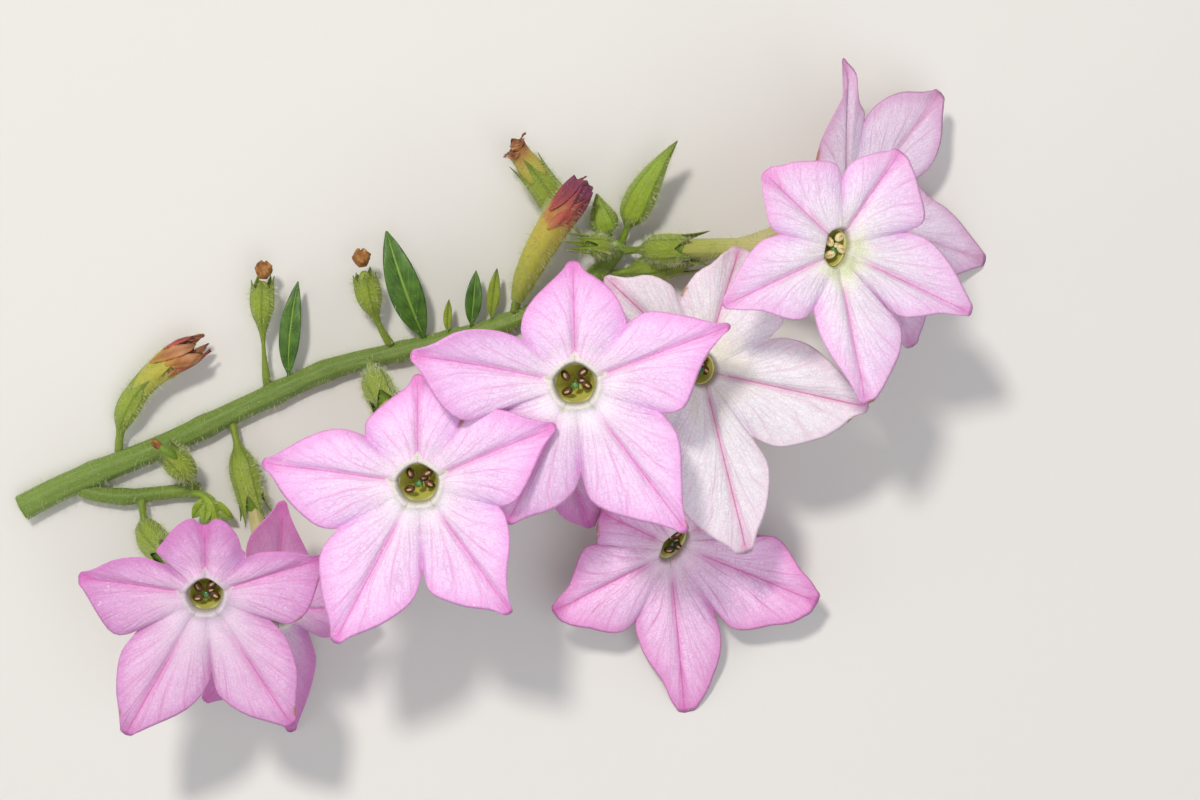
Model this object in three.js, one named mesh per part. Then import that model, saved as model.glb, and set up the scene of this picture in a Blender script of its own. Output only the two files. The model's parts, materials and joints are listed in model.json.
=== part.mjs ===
// A cut flowering spray of flowering tobacco. It lies on the ground with its blooms turned up.
// Millimetres, +Z up. Each piece is one closed body, and pieces that meet keep a hair's breadth clear.
import * as THREE from "three";

// Driving dimensions
const PETAL_THICKNESS = 0.7;
const THROAT_WALL = 0.9;
const THROAT_DEPTH = 7.2;
const FUNNEL_DEPTH = 1.5; // the limb dips this far into the mouth
const CALYX_CUP = 9.6; // from the calyx's base to the notches between its teeth
const CALYX_TEETH = 15.5; // from the calyx's base to the tips of its teeth
const STALK_RADIUS = 0.75;
const NECK_RADIUS = 1.5; // the narrow part of a bloom's tube
const SEAT_GAP = 0.38; // from a stem's skin to the foot of what it carries
const GROUND_GAP = 0.02;
const CAP_GAP = 0.7; // from the stem's tip to the bud that ends it

// Columns and sides of the faceted surfaces
// A lobe from its notch to its tip: [share of the way, share of the half width at the notch]
const LOBE_SHAPE = [
  [0, 1],
  [0.25, 1.13],
  [0.57, 0.84],
  [0.88, 0.29],
  [1, 0],
];
const HALF_LOBE_COLUMNS = LOBE_SHAPE.length - 1;
const CALYX_SIDES = 10;
const STEM_SIDES = 10;
const SMALL_SIDES = 8;

const vec = (x, y, z) => new THREE.Vector3(x, y, z);
const blend = (a, b, f) => a + (b - a) * f;
const radians = THREE.MathUtils.degToRad;
const turned = (x, y, angle) => new THREE.Vector2(x, y).rotateAround(new THREE.Vector2(), angle);

// A closed body from rings of points. Each ring has as many points as the last one, or a whole number of
// times more or fewer, and the first and last rings are single points.
function skin(rings) {
  const starts = [];
  const points = [];
  for (const ring of rings) {
    starts.push(points.length);
    points.push(...ring);
  }
  const faces = [];
  const face = (a, b, c) => {
    if (a !== b && b !== c && a !== c) faces.push(a, b, c);
  };
  for (let k = 0; k + 1 < rings.length; k++) {
    const near = rings[k].length;
    const far = rings[k + 1].length;
    const count = Math.max(near, far);
    const nearPoint = (j) => starts[k] + Math.floor(((j % count) * near) / count);
    const farPoint = (j) => starts[k + 1] + Math.floor(((j % count) * far) / count);
    for (let j = 0; j < count; j++) {
      face(nearPoint(j), nearPoint(j + 1), farPoint(j + 1));
      face(nearPoint(j), farPoint(j + 1), farPoint(j));
    }
  }
  let volume = 0;
  for (let i = 0; i < faces.length; i += 3) {
    const [p, q, r] = faces.slice(i, i + 3).map((n) => points[n]);
    volume += p.dot(q.clone().cross(r));
  }
  if (volume < 0) faces.reverse(); // faces point out
  const geometry = new THREE.BufferGeometry().setFromPoints(points);
  geometry.setIndex(faces);
  return geometry;
}

// A curve measured by length. Its sideways axis is carried along without twisting.
function measured(curve, sideways) {
  const steps = 80;
  const marks = [];
  let u = sideways;
  for (let i = 0; i <= steps; i++) {
    const p = curve.getPoint(i / steps);
    const t = curve.getTangent(i / steps);
    const before = marks[i - 1];
    u = u.clone().addScaledVector(t, -u.dot(t)).normalize();
    marks.push({ p, t, u, d: before ? before.d + p.distanceTo(before.p) : 0 });
  }
  const at = (d) => {
    let i = 1;
    while (i < steps && marks[i].d < d) i++;
    const [a, b] = [marks[i - 1], marks[i]];
    const f = (d - a.d) / (b.d - a.d);
    const held = THREE.MathUtils.clamp(f, 0, 1);
    const p = a.p.clone().lerp(b.p, f);
    const t = a.t.clone().lerp(b.t, held).normalize();
    const side = a.u.clone().lerp(b.u, held);
    side.addScaledVector(t, -side.dot(t)).normalize();
    return { p, t, u: side, v: t.clone().cross(side) };
  };
  return { at, length: marks[steps].d };
}

// A ring of points round a measured curve, d along it. Radius and shift can depend on the point's number,
// and flat squeezes the ring along the curve's sideways axis.
function ring(line, d, count, radius, flat = 1, shift = () => 0) {
  return Array.from({ length: count }, (_, j) => {
    const { p, u, v } = line.at(d + shift(j));
    const r = typeof radius === "function" ? radius(j) : radius;
    const a = (2 * Math.PI * j) / count;
    return p.addScaledVector(u, Math.cos(a) * r * flat).addScaledVector(v, Math.sin(a) * r);
  });
}

// A round or flattened body along a measured curve, from stations of [distance, radius]
function rod(line, stations, sides, flat = 1) {
  const first = stations[0][0];
  const last = stations[stations.length - 1][0];
  const rings = stations.map(([d, r]) => ring(line, d, sides, r, flat));
  return skin([[line.at(first).p], ...rings, [line.at(last).p]]);
}

// Stems lie on the ground and thin towards their tips. rise lifts the last stretch.
function stem({ points, radius, rise }) {
  const curve = new THREE.CatmullRomCurve3(
    points.map(([x, y], i) => {
      const f = i / (points.length - 1);
      return vec(x, y, radius(f) + GROUND_GAP + rise(f));
    }),
  );
  return { line: measured(curve, vec(0, 0, 1)), radius };
}

function stemBody({ line, radius }, sides, steps) {
  const stations = [];
  for (let i = 0; i <= steps; i++) stations.push([(line.length * i) / steps, radius(i / steps)]);
  return rod(line, stations, sides);
}

// The foot of a side piece: by the stem's stretch nearest to [x, y], just off its skin, on the side it leaves
function seat(carrier, [x, y], direction, footRadius) {
  const tries = 400;
  let best = { gap: Infinity };
  for (let i = 0; i <= tries; i++) {
    const place = carrier.line.at((carrier.line.length * i) / tries);
    const gap = Math.hypot(place.p.x - x, place.p.y - y);
    if (gap < best.gap) best = { gap, place, share: i / tries };
  }
  const { p, t } = best.place;
  const side = direction.clone().addScaledVector(t, -direction.dot(t)).normalize();
  const slant = Math.sqrt(1 - Math.min(1, side.dot(direction) ** 2));
  return p.addScaledVector(side, carrier.radius(best.share) + SEAT_GAP + footRadius * slant);
}

const mainStem = stem({
  points: [
    [-105, -19.6],
    [-99.9, -16.9],
    [-93.5, -14],
    [-79.9, -8.5],
    [-63.6, -0.9],
    [-48.9, 5.6],
    [-34.7, 9.2],
    [-18.2, 13.6],
    [-4.5, 20],
    [1.6, 25.1],
    [3.8, 28.6],
  ],
  radius: (f) => 2.35 - 0.95 * f,
  rise: (f) => 1.6 * f ** 6,
});
const forkFoot = seat(mainStem, [-92.4, -13.6], vec(0.72, -0.7, 0), 2.6);
const sideStem = stem({
  points: [
    [forkFoot.x, forkFoot.y],
    [-86.4, -17.6],
    [-82, -17.2],
    [-77, -16.6],
    [-72.6, -16.2],
  ],
  radius: (f) => 1.35 - 0.25 * f,
  rise: () => 0.5,
});

// A bloom is modelled with its throat at the origin, facing +Z, in a group that sets it in place.
// facing is [degrees off straight up, compass degrees of that lean], counted from +X.
function bloomFrame({ throat, facing }) {
  const [lean, compass] = facing.map(radians);
  const level = Math.sin(lean);
  const towards = vec(level * Math.cos(compass), level * Math.sin(compass), Math.cos(lean));
  const frame = new THREE.Group();
  frame.position.set(...throat);
  frame.quaternion.setFromUnitVectors(vec(0, 0, 1), towards);
  frame.updateMatrixWorld();
  return frame;
}

// A point on one edge of a lobe, in the face's own axes: k counts from the notch beside it to its tip
function lobeEdge(tip, beside, k) {
  const f = k / HALF_LOBE_COLUMNS;
  const [along, wide] = LOBE_SHAPE[k];
  const turn = radians(beside.angle - tip.angle);
  const start = { x: beside.reach * Math.cos(turn), y: beside.reach * Math.sin(turn) };
  const edge = turned(blend(start.x, tip.reach, along), start.y * wide, radians(tip.angle));
  return {
    x: edge.x,
    y: edge.y,
    throat: radians(blend(beside.angle, tip.angle, f)),
    across: 1 - f,
    lift: blend(beside.lift, tip.lift, 1 - (1 - f) ** 2),
  };
}

// Columns round a bloom, clockwise: where each leaves the throat and where it meets the limb's edge.
// A notch that isn't given lies midway between its two lobes.
function columns(lobes) {
  const sides = lobes.map((tip, i) => {
    const next = lobes[(i + 1) % lobes.length];
    const nextAngle = next.angle < tip.angle ? next.angle : next.angle - 360;
    const plain = notch((tip.angle + nextAngle) / 2, 0.26 * (tip.reach + next.reach));
    const between = { ...plain, ...tip.notch, lift: (tip.lift + next.lift) / 2 };
    return { tip, notch: between };
  });
  const out = [];
  sides.forEach(({ tip, notch: after }, i) => {
    const last = sides[(i + lobes.length - 1) % lobes.length].notch;
    const before = i ? last : { ...last, angle: last.angle + 360 };
    for (let k = 0; k < HALF_LOBE_COLUMNS; k++) out.push(lobeEdge(tip, before, k));
    for (let k = HALF_LOBE_COLUMNS; k > 0; k--) out.push(lobeEdge(tip, after, k));
  });
  return out;
}

// Height of the limb's face over the throat's plane, s from the mouth (0) to the edge (1)
function faceHeight(s, { across, lift }) {
  const funnel = -FUNNEL_DEPTH * Math.max(0, 1 - s / 0.3) ** 2;
  const puff = Math.sin(Math.PI * across) * s;
  const crease = -0.6 * Math.exp(-((across / 0.16) ** 2)) * Math.sin(Math.PI * Math.min(1, s + 0.15));
  const valley = -0.9 * across ** 4 * s;
  return funnel + puff + crease + valley + lift * s * s;
}

// The line of a bloom, from its throat back down its tube and stalk to the stem that carries it
function bloomLine(bloom, frame) {
  const out = vec(...bloom.leaves).normalize();
  const foot = seat(bloom.carrier || mainStem, bloom.near, out, STALK_RADIUS);
  const [fromThroat, fromFoot] = bloom.pull;
  const beyond = foot.clone().addScaledVector(out, fromFoot);
  const curve = new THREE.CubicBezierCurve3(
    vec(0, 0, 0),
    vec(0, 0, -fromThroat),
    frame.worldToLocal(beyond),
    frame.worldToLocal(foot),
  );
  return measured(curve, vec(1, 0, 0));
}

// Behind the mouth the tube's radius is a share of the mouth's outer radius: [distance, share]
const TUBE_PROFILE = [
  [3.5, 1.0],
  [7, 0.97],
  [11, 0.72],
  [16, 0.55],
];

function corolla(bloom, line) {
  const { mouth, mouthTurn = 0, neck = NECK_RADIUS, taper = 1 } = bloom;
  const [rx, ry] = mouth;
  const turn = radians(mouthTurn);
  const oval = (c, x, y) => turned(x * Math.cos(c.throat - turn), y * Math.sin(c.throat - turn), turn);
  const all = columns(bloom.lobes);
  const half = all.filter((_, i) => i % 2 === 0);
  const quarter = all.filter((_, i) => i % 4 === 0);
  const limb = (list, s, drop) =>
    list.map((c) => {
      const inner = oval(c, rx, ry);
      return vec(blend(inner.x, c.x, s), blend(inner.y, c.y, s), faceHeight(s, c) - drop);
    });
  const round = (list, d, x, y) =>
    list.map((c) => {
      const { p, u, v } = line.at(d);
      const wall = oval(c, x, y);
      return p.addScaledVector(u, wall.x).addScaledVector(v, -wall.y);
    });
  const rings = [
    [line.at(THROAT_DEPTH - 4.6).p],
    round(quarter, THROAT_DEPTH - 4.4, rx * 0.34, ry * 0.34),
    round(quarter, THROAT_DEPTH - 0.2, rx * 0.4, ry * 0.4),
    round(quarter, THROAT_DEPTH, rx * 0.72, ry * 0.72),
    round(half, THROAT_DEPTH - 4, rx * 0.9, ry * 0.9),
    limb(half, 0, 0),
    limb(all, 0.3, 0),
    limb(all, 0.65, 0),
    limb(all, 1, 0),
    limb(all, 0.97, PETAL_THICKNESS),
    limb(all, 0.5, PETAL_THICKNESS),
    limb(half, 0.14, PETAL_THICKNESS + 0.4),
  ];
  for (const [d, share] of TUBE_PROFILE) {
    const x = Math.max(neck, (rx + THROAT_WALL) * share);
    const y = Math.max(neck, (ry + THROAT_WALL) * share);
    rings.push(round(quarter, d * taper, x, y));
  }
  const end = line.length - bloom.stalk - 3;
  const narrow = 20 * taper;
  const steps = Math.ceil((end - 2 - narrow) / 5);
  for (let i = 0; i <= steps; i++) rings.push(round(quarter, blend(narrow, end - 2, i / steps), neck, neck));
  rings.push(round(quarter, end, neck * 0.7, neck * 0.7), [line.at(end).p]);
  return skin(rings);
}

// The stalk and the toothed cup round a bloom's foot, measured up from the stem
function calyx({ stalk, cup = 1 }, line) {
  const up = (a) => line.length - a;
  const wall = (a, radius) => ring(line, up(a), CALYX_SIDES, radius);
  const teeth = (tip, notch) => {
    const radius = (j) => (j % 2 ? notch : tip) * cup;
    const shift = (j) => -(j % 2 ? CALYX_CUP : CALYX_TEETH) * cup;
    return ring(line, up(stalk), CALYX_SIDES, radius, 1, shift);
  };
  return skin([
    [line.at(up(0)).p],
    wall(0, STALK_RADIUS),
    wall(stalk - 0.6, STALK_RADIUS + 0.1),
    wall(stalk + 1.2, 2.0 * cup),
    wall(stalk + 4.5, 2.75 * cup),
    wall(stalk + 8.5 * cup, 2.65 * cup),
    teeth(3.1, 2.6),
    teeth(2.45, 2.05),
    wall(stalk + 5, 2.05 * cup),
    wall(stalk + 2.5, 1.5 * cup),
    [line.at(up(stalk + 2.5)).p],
  ]);
}

// Lobes go clockwise. Angles are compass degrees in the bloom's own face, and lift is the tip's height over
// the throat's plane. A lobe's notch is the one after it.
const lobe = (angle, reach, lift = 0, notch = undefined) => ({ angle, reach, lift, notch });
const notch = (angle, reach) => ({ angle, reach });

const BLOOMS = {
  centre: {
    throat: [-4.1, 2.5, 48.7],
    facing: [8, -95],
    mouth: [3.3, 3.2],
    stalk: 4,
    near: [-9.6, 15.2],
    leaves: [0.05, -0.3, 0.95],
    pull: [17, 12],
    lobes: [
      lobe(91, 20.5, -1, notch(50, 13)),
      lobe(21, 27.5, 0, notch(-19, 15)),
      lobe(-53, 31, 0, notch(-87, 15.5)),
      lobe(-115.5, 27.2, -5.5, notch(-164, 12.4)),
      lobe(-192, 27.5, 5, notch(-222, 11.5)),
    ],
  },
  middle: {
    throat: [-30.4, -14.1, 44.9],
    facing: [10, -100],
    mouth: [3.2, 3.1],
    stalk: 4,
    near: [-41.2, 5.9],
    leaves: [0.1, -0.45, 0.9],
    pull: [18, 14],
    lobes: [
      lobe(90, 18.2, -3, notch(55, 13)),
      lobe(24, 25.5, 2, notch(-16, 14)),
      lobe(-55, 27, 0, notch(-88, 15)),
      lobe(-118, 31, 0, notch(-150, 15.6)),
      lobe(-188, 26.3, 0, notch(-221, 11.8)),
    ],
  },
  left: {
    throat: [-66.8, -33.3, 38],
    facing: [14, -80],
    mouth: [2.75, 2.65],
    stalk: 4,
    neck: 1.4,
    carrier: sideStem,
    near: [-83.4, -17],
    leaves: [0.1, -0.85, 0.45],
    pull: [18, 13],
    lobes: [
      lobe(89, 14.6, -1, notch(43, 9)),
      lobe(18.5, 21.3, 0, notch(-24, 12)),
      lobe(-59, 27.7, -1, notch(-88, 14.4)),
      lobe(-120, 29, -1, notch(-151, 13.5)),
      lobe(-190, 21.5, 0, notch(-220, 8)),
    ],
  },
  left_under: {
    throat: [-57.6, -37.7, 12.2],
    facing: [22, -80],
    mouth: [2.6, 2.5],
    stalk: 4,
    neck: 1.3,
    cup: 0.95,
    near: [-67.4, -3],
    leaves: [0.22, -0.95, 0.12],
    pull: [8, 12],
    lobes: [
      lobe(85, 22, 1),
      lobe(0, 16, 0, notch(-44, 7.5)),
      lobe(-86, 26, -2.5),
      lobe(-127, 22.5),
      lobe(-208, 10.5),
    ],
  },
  low: {
    throat: [13.3, -26.3, 14.4],
    facing: [20, -75],
    mouth: [1.7, 3.2],
    mouthTurn: -35,
    stalk: 3,
    near: [-5.6, 18.6],
    leaves: [0.3, -0.95, 0.07],
    pull: [11, 18],
    lobes: [
      lobe(152, 15, 0, notch(126, 11)),
      lobe(36, 15, 0, notch(8, 14)),
      lobe(-23, 28.5, 0, notch(-60, 15.6)),
      lobe(-85, 34, -3, notch(-113.5, 16.4)),
      lobe(-151.5, 24.7, 0, notch(-184, 13)),
    ],
  },
  pale: {
    throat: [17.7, 4.9, 35],
    facing: [16, -40],
    mouth: [2.9, 2.9],
    stalk: 3,
    near: [-2.2, 21.4],
    leaves: [0.45, -0.5, 0.75],
    pull: [15, 10],
    lobes: [
      lobe(137, 24, 0, notch(109, 13)),
      lobe(75, 22, 0, notch(24, 13)),
      lobe(-13, 30.5, 0, notch(-52, 15)),
      lobe(-75, 33.5),
      lobe(-160, 19),
    ],
  },
  right: {
    throat: [40, 25.3, 45],
    facing: [18, -15],
    mouth: [1.9, 3.1],
    mouthTurn: -12,
    stalk: 4,
    near: [3.6, 28.2],
    leaves: [0.78, 0, 0.62],
    pull: [12, 15],
    lobes: [
      lobe(138, 18.5, 0, notch(87, 11.5)),
      lobe(57, 19.5, 0, notch(12, 13)),
      lobe(-24, 27.5, -1.5, notch(-48, 13)),
      lobe(-78, 27, -1, notch(-110, 11)),
      lobe(-155, 22.6, 0, notch(-192, 10.5)),
    ],
  },
  right_under: {
    throat: [44.1, 32.6, 17.5],
    facing: [28, 0],
    mouth: [2.6, 2.6],
    stalk: 3,
    neck: 1.3,
    cup: 0.95,
    near: [1.4, 24.6],
    leaves: [0.98, 0.14, 0.1],
    pull: [11, 17],
    lobes: [
      lobe(96, 27.5, 2, notch(80, 17.2)),
      lobe(50, 29.5, 1, notch(24, 15.3)),
      lobe(-13, 32.5, -3),
      lobe(-61, 26.5, 1),
      lobe(-179, 14.5, -2, notch(-232, 10.5)),
    ],
  },
  hidden: {
    throat: [-7, -9.6, 20],
    facing: [22, -75],
    mouth: [2.4, 2.4],
    stalk: 3,
    neck: 1.1,
    cup: 0.86,
    taper: 0.6,
    near: [-19.5, 13],
    leaves: [0.3, -0.75, 0.4],
    pull: [9, 9],
    lobes: [lobe(89, 11.5), lobe(10, 15), lobe(-68, 15.5), lobe(-133, 15.5), lobe(-193, 14.5)],
  },
};

// Small pieces follow a curve from a foot on the stem, past by, to tip.
// Their outlines are stations of [share of the length, radius].
function small({ carrier = mainStem, ends = false, near, by, tip, outline, flat = 1 }) {
  const middle = vec(...by);
  const stemTip = mainStem.line.at(mainStem.line.length);
  const direction = middle.clone().sub(vec(...near)).normalize();
  const capFoot = stemTip.p.addScaledVector(stemTip.t, CAP_GAP);
  const foot = ends ? capFoot : seat(carrier, near, direction, outline[0][1]);
  const line = measured(new THREE.QuadraticBezierCurve3(foot, middle, vec(...tip)), vec(0, 0, 1));
  const stations = outline.map(([f, r]) => [f * line.length, r]);
  return rod(line, stations, SMALL_SIDES, flat);
}

const budOutline = (r) => [
  [0, 0.7],
  [0.16, 0.8],
  [0.26, r * 0.85],
  [0.45, r],
  [0.68, r * 0.72],
  [0.86, r * 0.3],
  [1, 0.3],
];
const capsuleOutline = (r) => [
  [0, 0.7],
  [0.3, 0.75],
  [0.42, r * 0.85],
  [0.6, r],
  [0.74, r * 0.7],
  [0.84, r * 0.35],
  [1, 0.35],
];
const leafOutline = (halfWidth) => [
  [0, halfWidth * 0.16],
  [0.12, halfWidth * 0.55],
  [0.32, halfWidth * 0.95],
  [0.5, halfWidth],
  [0.7, halfWidth * 0.8],
  [0.88, halfWidth * 0.42],
  [1, halfWidth * 0.1],
];
const spentOutline = (size) =>
  [
    [0, 0.75],
    [0.13, 0.85],
    [0.2, 1.9],
    [0.32, 2.2],
    [0.46, 2.0],
    [0.62, 2.3],
    [0.76, 2.7],
    [0.86, 2.2],
    [0.94, 2.6],
    [1, 1.1],
  ].map(([f, r]) => [f, r * size]);

const spentTallOutline = [
  [0, 0.75],
  [0.1, 1.2],
  [0.25, 2.0],
  [0.4, 2.6],
  [0.55, 3.1],
  [0.7, 3.4],
  [0.82, 3.3],
  [0.92, 2.8],
  [1, 1.3],
];

const SMALL_PIECES = {
  bud_upright: {
    ends: true,
    near: [4.7, 32, 5.2],
    by: [7.6, 39, 8],
    tip: [13.8, 46.2, 11.5],
    outline: budOutline(2.9),
  },
  bud_round: {
    near: [2.6, 29, 4],
    by: [0.4, 32.6, 5],
    tip: [-0.6, 37.2, 6.6],
    outline: budOutline(2.2),
  },
  bud_side: {
    near: [2.6, 26.8, 6],
    by: [1.2, 27.8, 10],
    tip: [-5, 28, 12.5],
    outline: budOutline(2.1),
  },
  bud_left: {
    carrier: sideStem,
    near: [-73.8, -14.2, 2.9],
    by: [-74.6, -11.6, 7.6],
    tip: [-80.4, -7.2, 9.4],
    outline: budOutline(1.9),
  },
  bud_low: {
    carrier: sideStem,
    near: [-73, -16.6, 2.2],
    by: [-70.2, -20, 2.8],
    tip: [-69.6, -26, 3.6],
    outline: budOutline(2),
  },
  spent_bloom_tall: {
    near: [-15.6, 17, 3.6],
    by: [-12.4, 27, 9],
    tip: [-2, 39.6, 12],
    outline: spentTallOutline,
  },
  spent_bloom_short: {
    near: [1.2, 24.8, 3.2],
    by: [-5.6, 32, 3.6],
    tip: [-16.2, 46.9, 8.5],
    outline: spentOutline(0.86),
  },
  spent_bloom_left: {
    near: [-87.3, -8.6, 3.6],
    by: [-86.6, 3.4, 4.6],
    tip: [-71.2, 10.6, 6.4],
    outline: spentOutline(1),
  },
  seed_capsule_middle: {
    near: [-38.4, 11.4, 3.2],
    by: [-42, 16, 6],
    tip: [-43, 27.3, 8.5],
    outline: capsuleOutline(2.5),
  },
  seed_capsule_left: {
    near: [-60.6, 3.8, 3],
    by: [-61.6, 15, 5],
    tip: [-60.4, 25.2, 7],
    outline: capsuleOutline(2.3),
  },
  bract_middle: {
    near: [-20, 15.6, 2.6],
    by: [-19.4, 19, 4.2],
    tip: [-18.6, 23.8, 4.8],
    outline: leafOutline(1.4),
    flat: 0.45,
  },
  bract_thin: {
    near: [-28, 13.4, 2.4],
    by: [-27.6, 15.4, 4],
    tip: [-27.3, 18.2, 4.6],
    outline: leafOutline(0.9),
    flat: 0.6,
  },
  leaf_long: {
    near: [-32.2, 12.3, 3],
    by: [-35.4, 20, 8.5],
    tip: [-38.5, 30.4, 6.2],
    outline: leafOutline(3),
    flat: 0.17,
  },
  leaf_small: {
    near: [-23.6, 14.6, 2.8],
    by: [-22.8, 18, 5],
    tip: [-22.4, 23.4, 4.6],
    outline: leafOutline(1.5),
    flat: 0.3,
  },
  leaf_left: {
    near: [-56.6, 5, 3],
    by: [-56.4, 12, 6],
    tip: [-54.6, 21.4, 4.6],
    outline: leafOutline(1.9),
    flat: 0.25,
  },
};

const COLOURS = {
  main_stem: 0x6e8f2e,
  side_stem: 0x7d9a35,
  bloom: 0xe9a7dc,
  bloom_pale: 0xf4e6ea,
  bloom_right_under: 0xe2bcd6,
  bloom_left_under: 0xdf9fd0,
  bloom_hidden: 0xc98abf,
  calyx: 0x86ab33,
  bud: 0x8db52e,
  spent: 0xa89a3a,
  spent_bloom_left: 0xb07b32,
  seed: 0x8a9a34,
  bract: 0x6f9a2c,
  leaf: 0x3d7a28,
};

function piece(name, geometry) {
  const color = COLOURS[name] ?? COLOURS[name.split("_")[0]];
  const material = new THREE.MeshStandardMaterial({ color, roughness: 0.7, metalness: 0 });
  const mesh = new THREE.Mesh(geometry, material);
  mesh.name = name;
  return mesh;
}

const spray = new THREE.Group();
spray.name = "flowering_tobacco_spray";
spray.add(piece("main_stem", stemBody(mainStem, STEM_SIDES, 26)));
spray.add(piece("side_stem", stemBody(sideStem, SMALL_SIDES, 5)));
for (const [name, bloom] of Object.entries(BLOOMS)) {
  const frame = bloomFrame(bloom);
  const line = bloomLine(bloom, frame);
  frame.add(piece(`bloom_${name}`, corolla(bloom, line)), piece(`calyx_${name}`, calyx(bloom, line)));
  spray.add(frame);
}
for (const [name, shape] of Object.entries(SMALL_PIECES)) spray.add(piece(name, small(shape)));

// The spray rests on the ground, with the middle of its outline over the origin
const box = new THREE.Box3().setFromObject(spray, true);
const middle = box.getCenter(vec(0, 0, 0));
spray.position.set(-middle.x, -middle.y, -box.min.z);

export default spray;
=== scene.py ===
# A cut spray of flowering tobacco, lying on a pale floor with its blooms turned up.
# Lengths are millimetres in the spray's own numbers, and inFrame() takes them to the frame's metres.
import json
import math

import bpy
import numpy as np
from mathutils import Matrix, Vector


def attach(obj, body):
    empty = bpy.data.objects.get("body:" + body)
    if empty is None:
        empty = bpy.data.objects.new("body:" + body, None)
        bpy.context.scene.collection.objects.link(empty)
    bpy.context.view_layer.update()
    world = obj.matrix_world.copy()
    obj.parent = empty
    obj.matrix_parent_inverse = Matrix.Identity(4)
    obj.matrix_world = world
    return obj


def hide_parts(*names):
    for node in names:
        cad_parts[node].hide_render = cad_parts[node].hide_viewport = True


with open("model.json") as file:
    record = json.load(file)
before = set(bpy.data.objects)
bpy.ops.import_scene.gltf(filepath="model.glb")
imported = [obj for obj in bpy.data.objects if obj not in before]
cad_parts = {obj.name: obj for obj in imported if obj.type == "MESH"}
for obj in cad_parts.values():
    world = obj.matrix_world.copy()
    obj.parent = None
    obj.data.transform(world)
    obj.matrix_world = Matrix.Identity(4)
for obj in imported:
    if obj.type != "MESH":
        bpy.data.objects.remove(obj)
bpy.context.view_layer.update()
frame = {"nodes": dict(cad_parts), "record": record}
print("frame loaded:", len(frame["nodes"]), "nodes")

millimetre = 0.001
stemStart = np.array([-105, -19.6, 2.37])  # the middle of the stem's cut end
cutEnd = np.array(frame["record"]["mounts"][0]["pos_m"])
onFloor = 0.00002  # what would reach into the floor lies on it, in metres
attributeNames = ("across", "run", "offMid", "offSinus", "rim", "fromMouth", "back", "downy")


def inFrame(points):
    return (np.asarray(points, float) - stemStart) * millimetre + cutEnd


def unit(v):
    return v / np.linalg.norm(v, axis=-1, keepdims=True)


def blend(a, b, f):
    return a + (b - a) * f


def smooth(x, low=0.0, high=1.0):
    f = np.clip((x - low) / (high - low), 0, 1)
    return f * f * (3 - 2 * f)


def bell(x, width):
    return np.exp(-((x / width) ** 2))


def hexColour(code):
    channels = [int(code[k : k + 2], 16) / 255 for k in (1, 3, 5)]
    return [c / 12.92 if c <= 0.04045 else ((c + 0.055) / 1.055) ** 2.4 for c in channels] + [1.0]


def addObject(name, data):
    made = bpy.data.objects.new(name, data)
    bpy.context.scene.collection.objects.link(made)
    return made


def addMesh(name, points, faces, materials):
    mesh = bpy.data.meshes.new(name)
    mesh.from_pydata(points, [], faces)
    for material in materials:
        mesh.materials.append(material)
    return addObject(name, mesh)


# Camera, lights and floor


def buildCamera():
    view = {"height": 517, "lens": 85, "sensor": 36}  # millimetres, looking straight down
    data = bpy.data.cameras.new("camera")
    data.lens = view["lens"]
    data.sensor_width = view["sensor"]
    data.clip_start = 0.01
    camera = addObject("camera", data)
    camera.location = inFrame([0, 0, view["height"]])
    bpy.context.scene.camera = camera


def buildLights():
    lamps = {
        "key": {"place": (-0.2, 0.38, 0.9), "size": 0.13, "power": 5.6, "colour": "#fffaf2"},
        "fill": {"place": (0.25, -0.3, 0.95), "size": 0.8, "power": 3.3, "colour": "#f3f5ff"},
        "side": {"place": (-0.8, -0.1, 0.4), "size": 0.6, "power": 1.0, "colour": "#ffffff"},
    }
    for name, lamp in lamps.items():
        data = bpy.data.lights.new(name, "AREA")
        data.shape = "DISK"
        data.size = lamp["size"]
        data.energy = lamp["power"]
        data.color = hexColour(lamp["colour"])[:3]
        light = addObject(name, data)
        light.location = lamp["place"]
        light.rotation_euler = (-Vector(lamp["place"])).to_track_quat("-Z", "Y").to_euler()
    world = bpy.data.worlds.new("studio")
    bpy.context.scene.world = world
    world.use_nodes = True
    sky = world.node_tree.nodes["Background"]
    sky.inputs["Color"].default_value = hexColour("#f2f4f7")
    sky.inputs["Strength"].default_value = 0.42
    bpy.context.scene.view_settings.view_transform = "Standard"


# Lines: a dense run of points, measured by length, with a sideways axis carried along without twisting


def lineThrough(points, sideways):
    points = np.asarray(points, float)
    along = np.concatenate([[0], np.cumsum(np.linalg.norm(np.diff(points, axis=0), axis=1))])
    tangent = unit(np.gradient(points, along, axis=0))
    u = np.array(sideways, float)
    side = []
    for t in tangent:
        u = unit(u - t * u.dot(t))
        side.append(u)
    return {"along": along, "point": points, "tangent": tangent, "side": np.array(side), "length": along[-1]}


def at(line, d):
    d = np.asarray(d, float)
    held = np.clip(d, 0, line["length"])

    def pick(name):
        return np.stack([np.interp(held, line["along"], line[name][:, k]) for k in range(3)], axis=-1)

    t = unit(pick("tangent"))
    p = pick("point") + t * (d - held)[..., None]
    u = pick("side")
    u = unit(u - t * np.sum(u * t, axis=-1, keepdims=True))
    return p, t, u, np.cross(t, u)


def reversedLine(line):
    return lineThrough(line["point"][::-1], line["side"][-1])


def bezier(points, steps=120):
    f = np.linspace(0, 1, steps + 1)[:, None]
    n = len(points) - 1
    weights = [math.comb(n, k) * f**k * (1 - f) ** (n - k) for k in range(n + 1)]
    return sum(weight * np.array(p, float) for weight, p in zip(weights, points))


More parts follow.
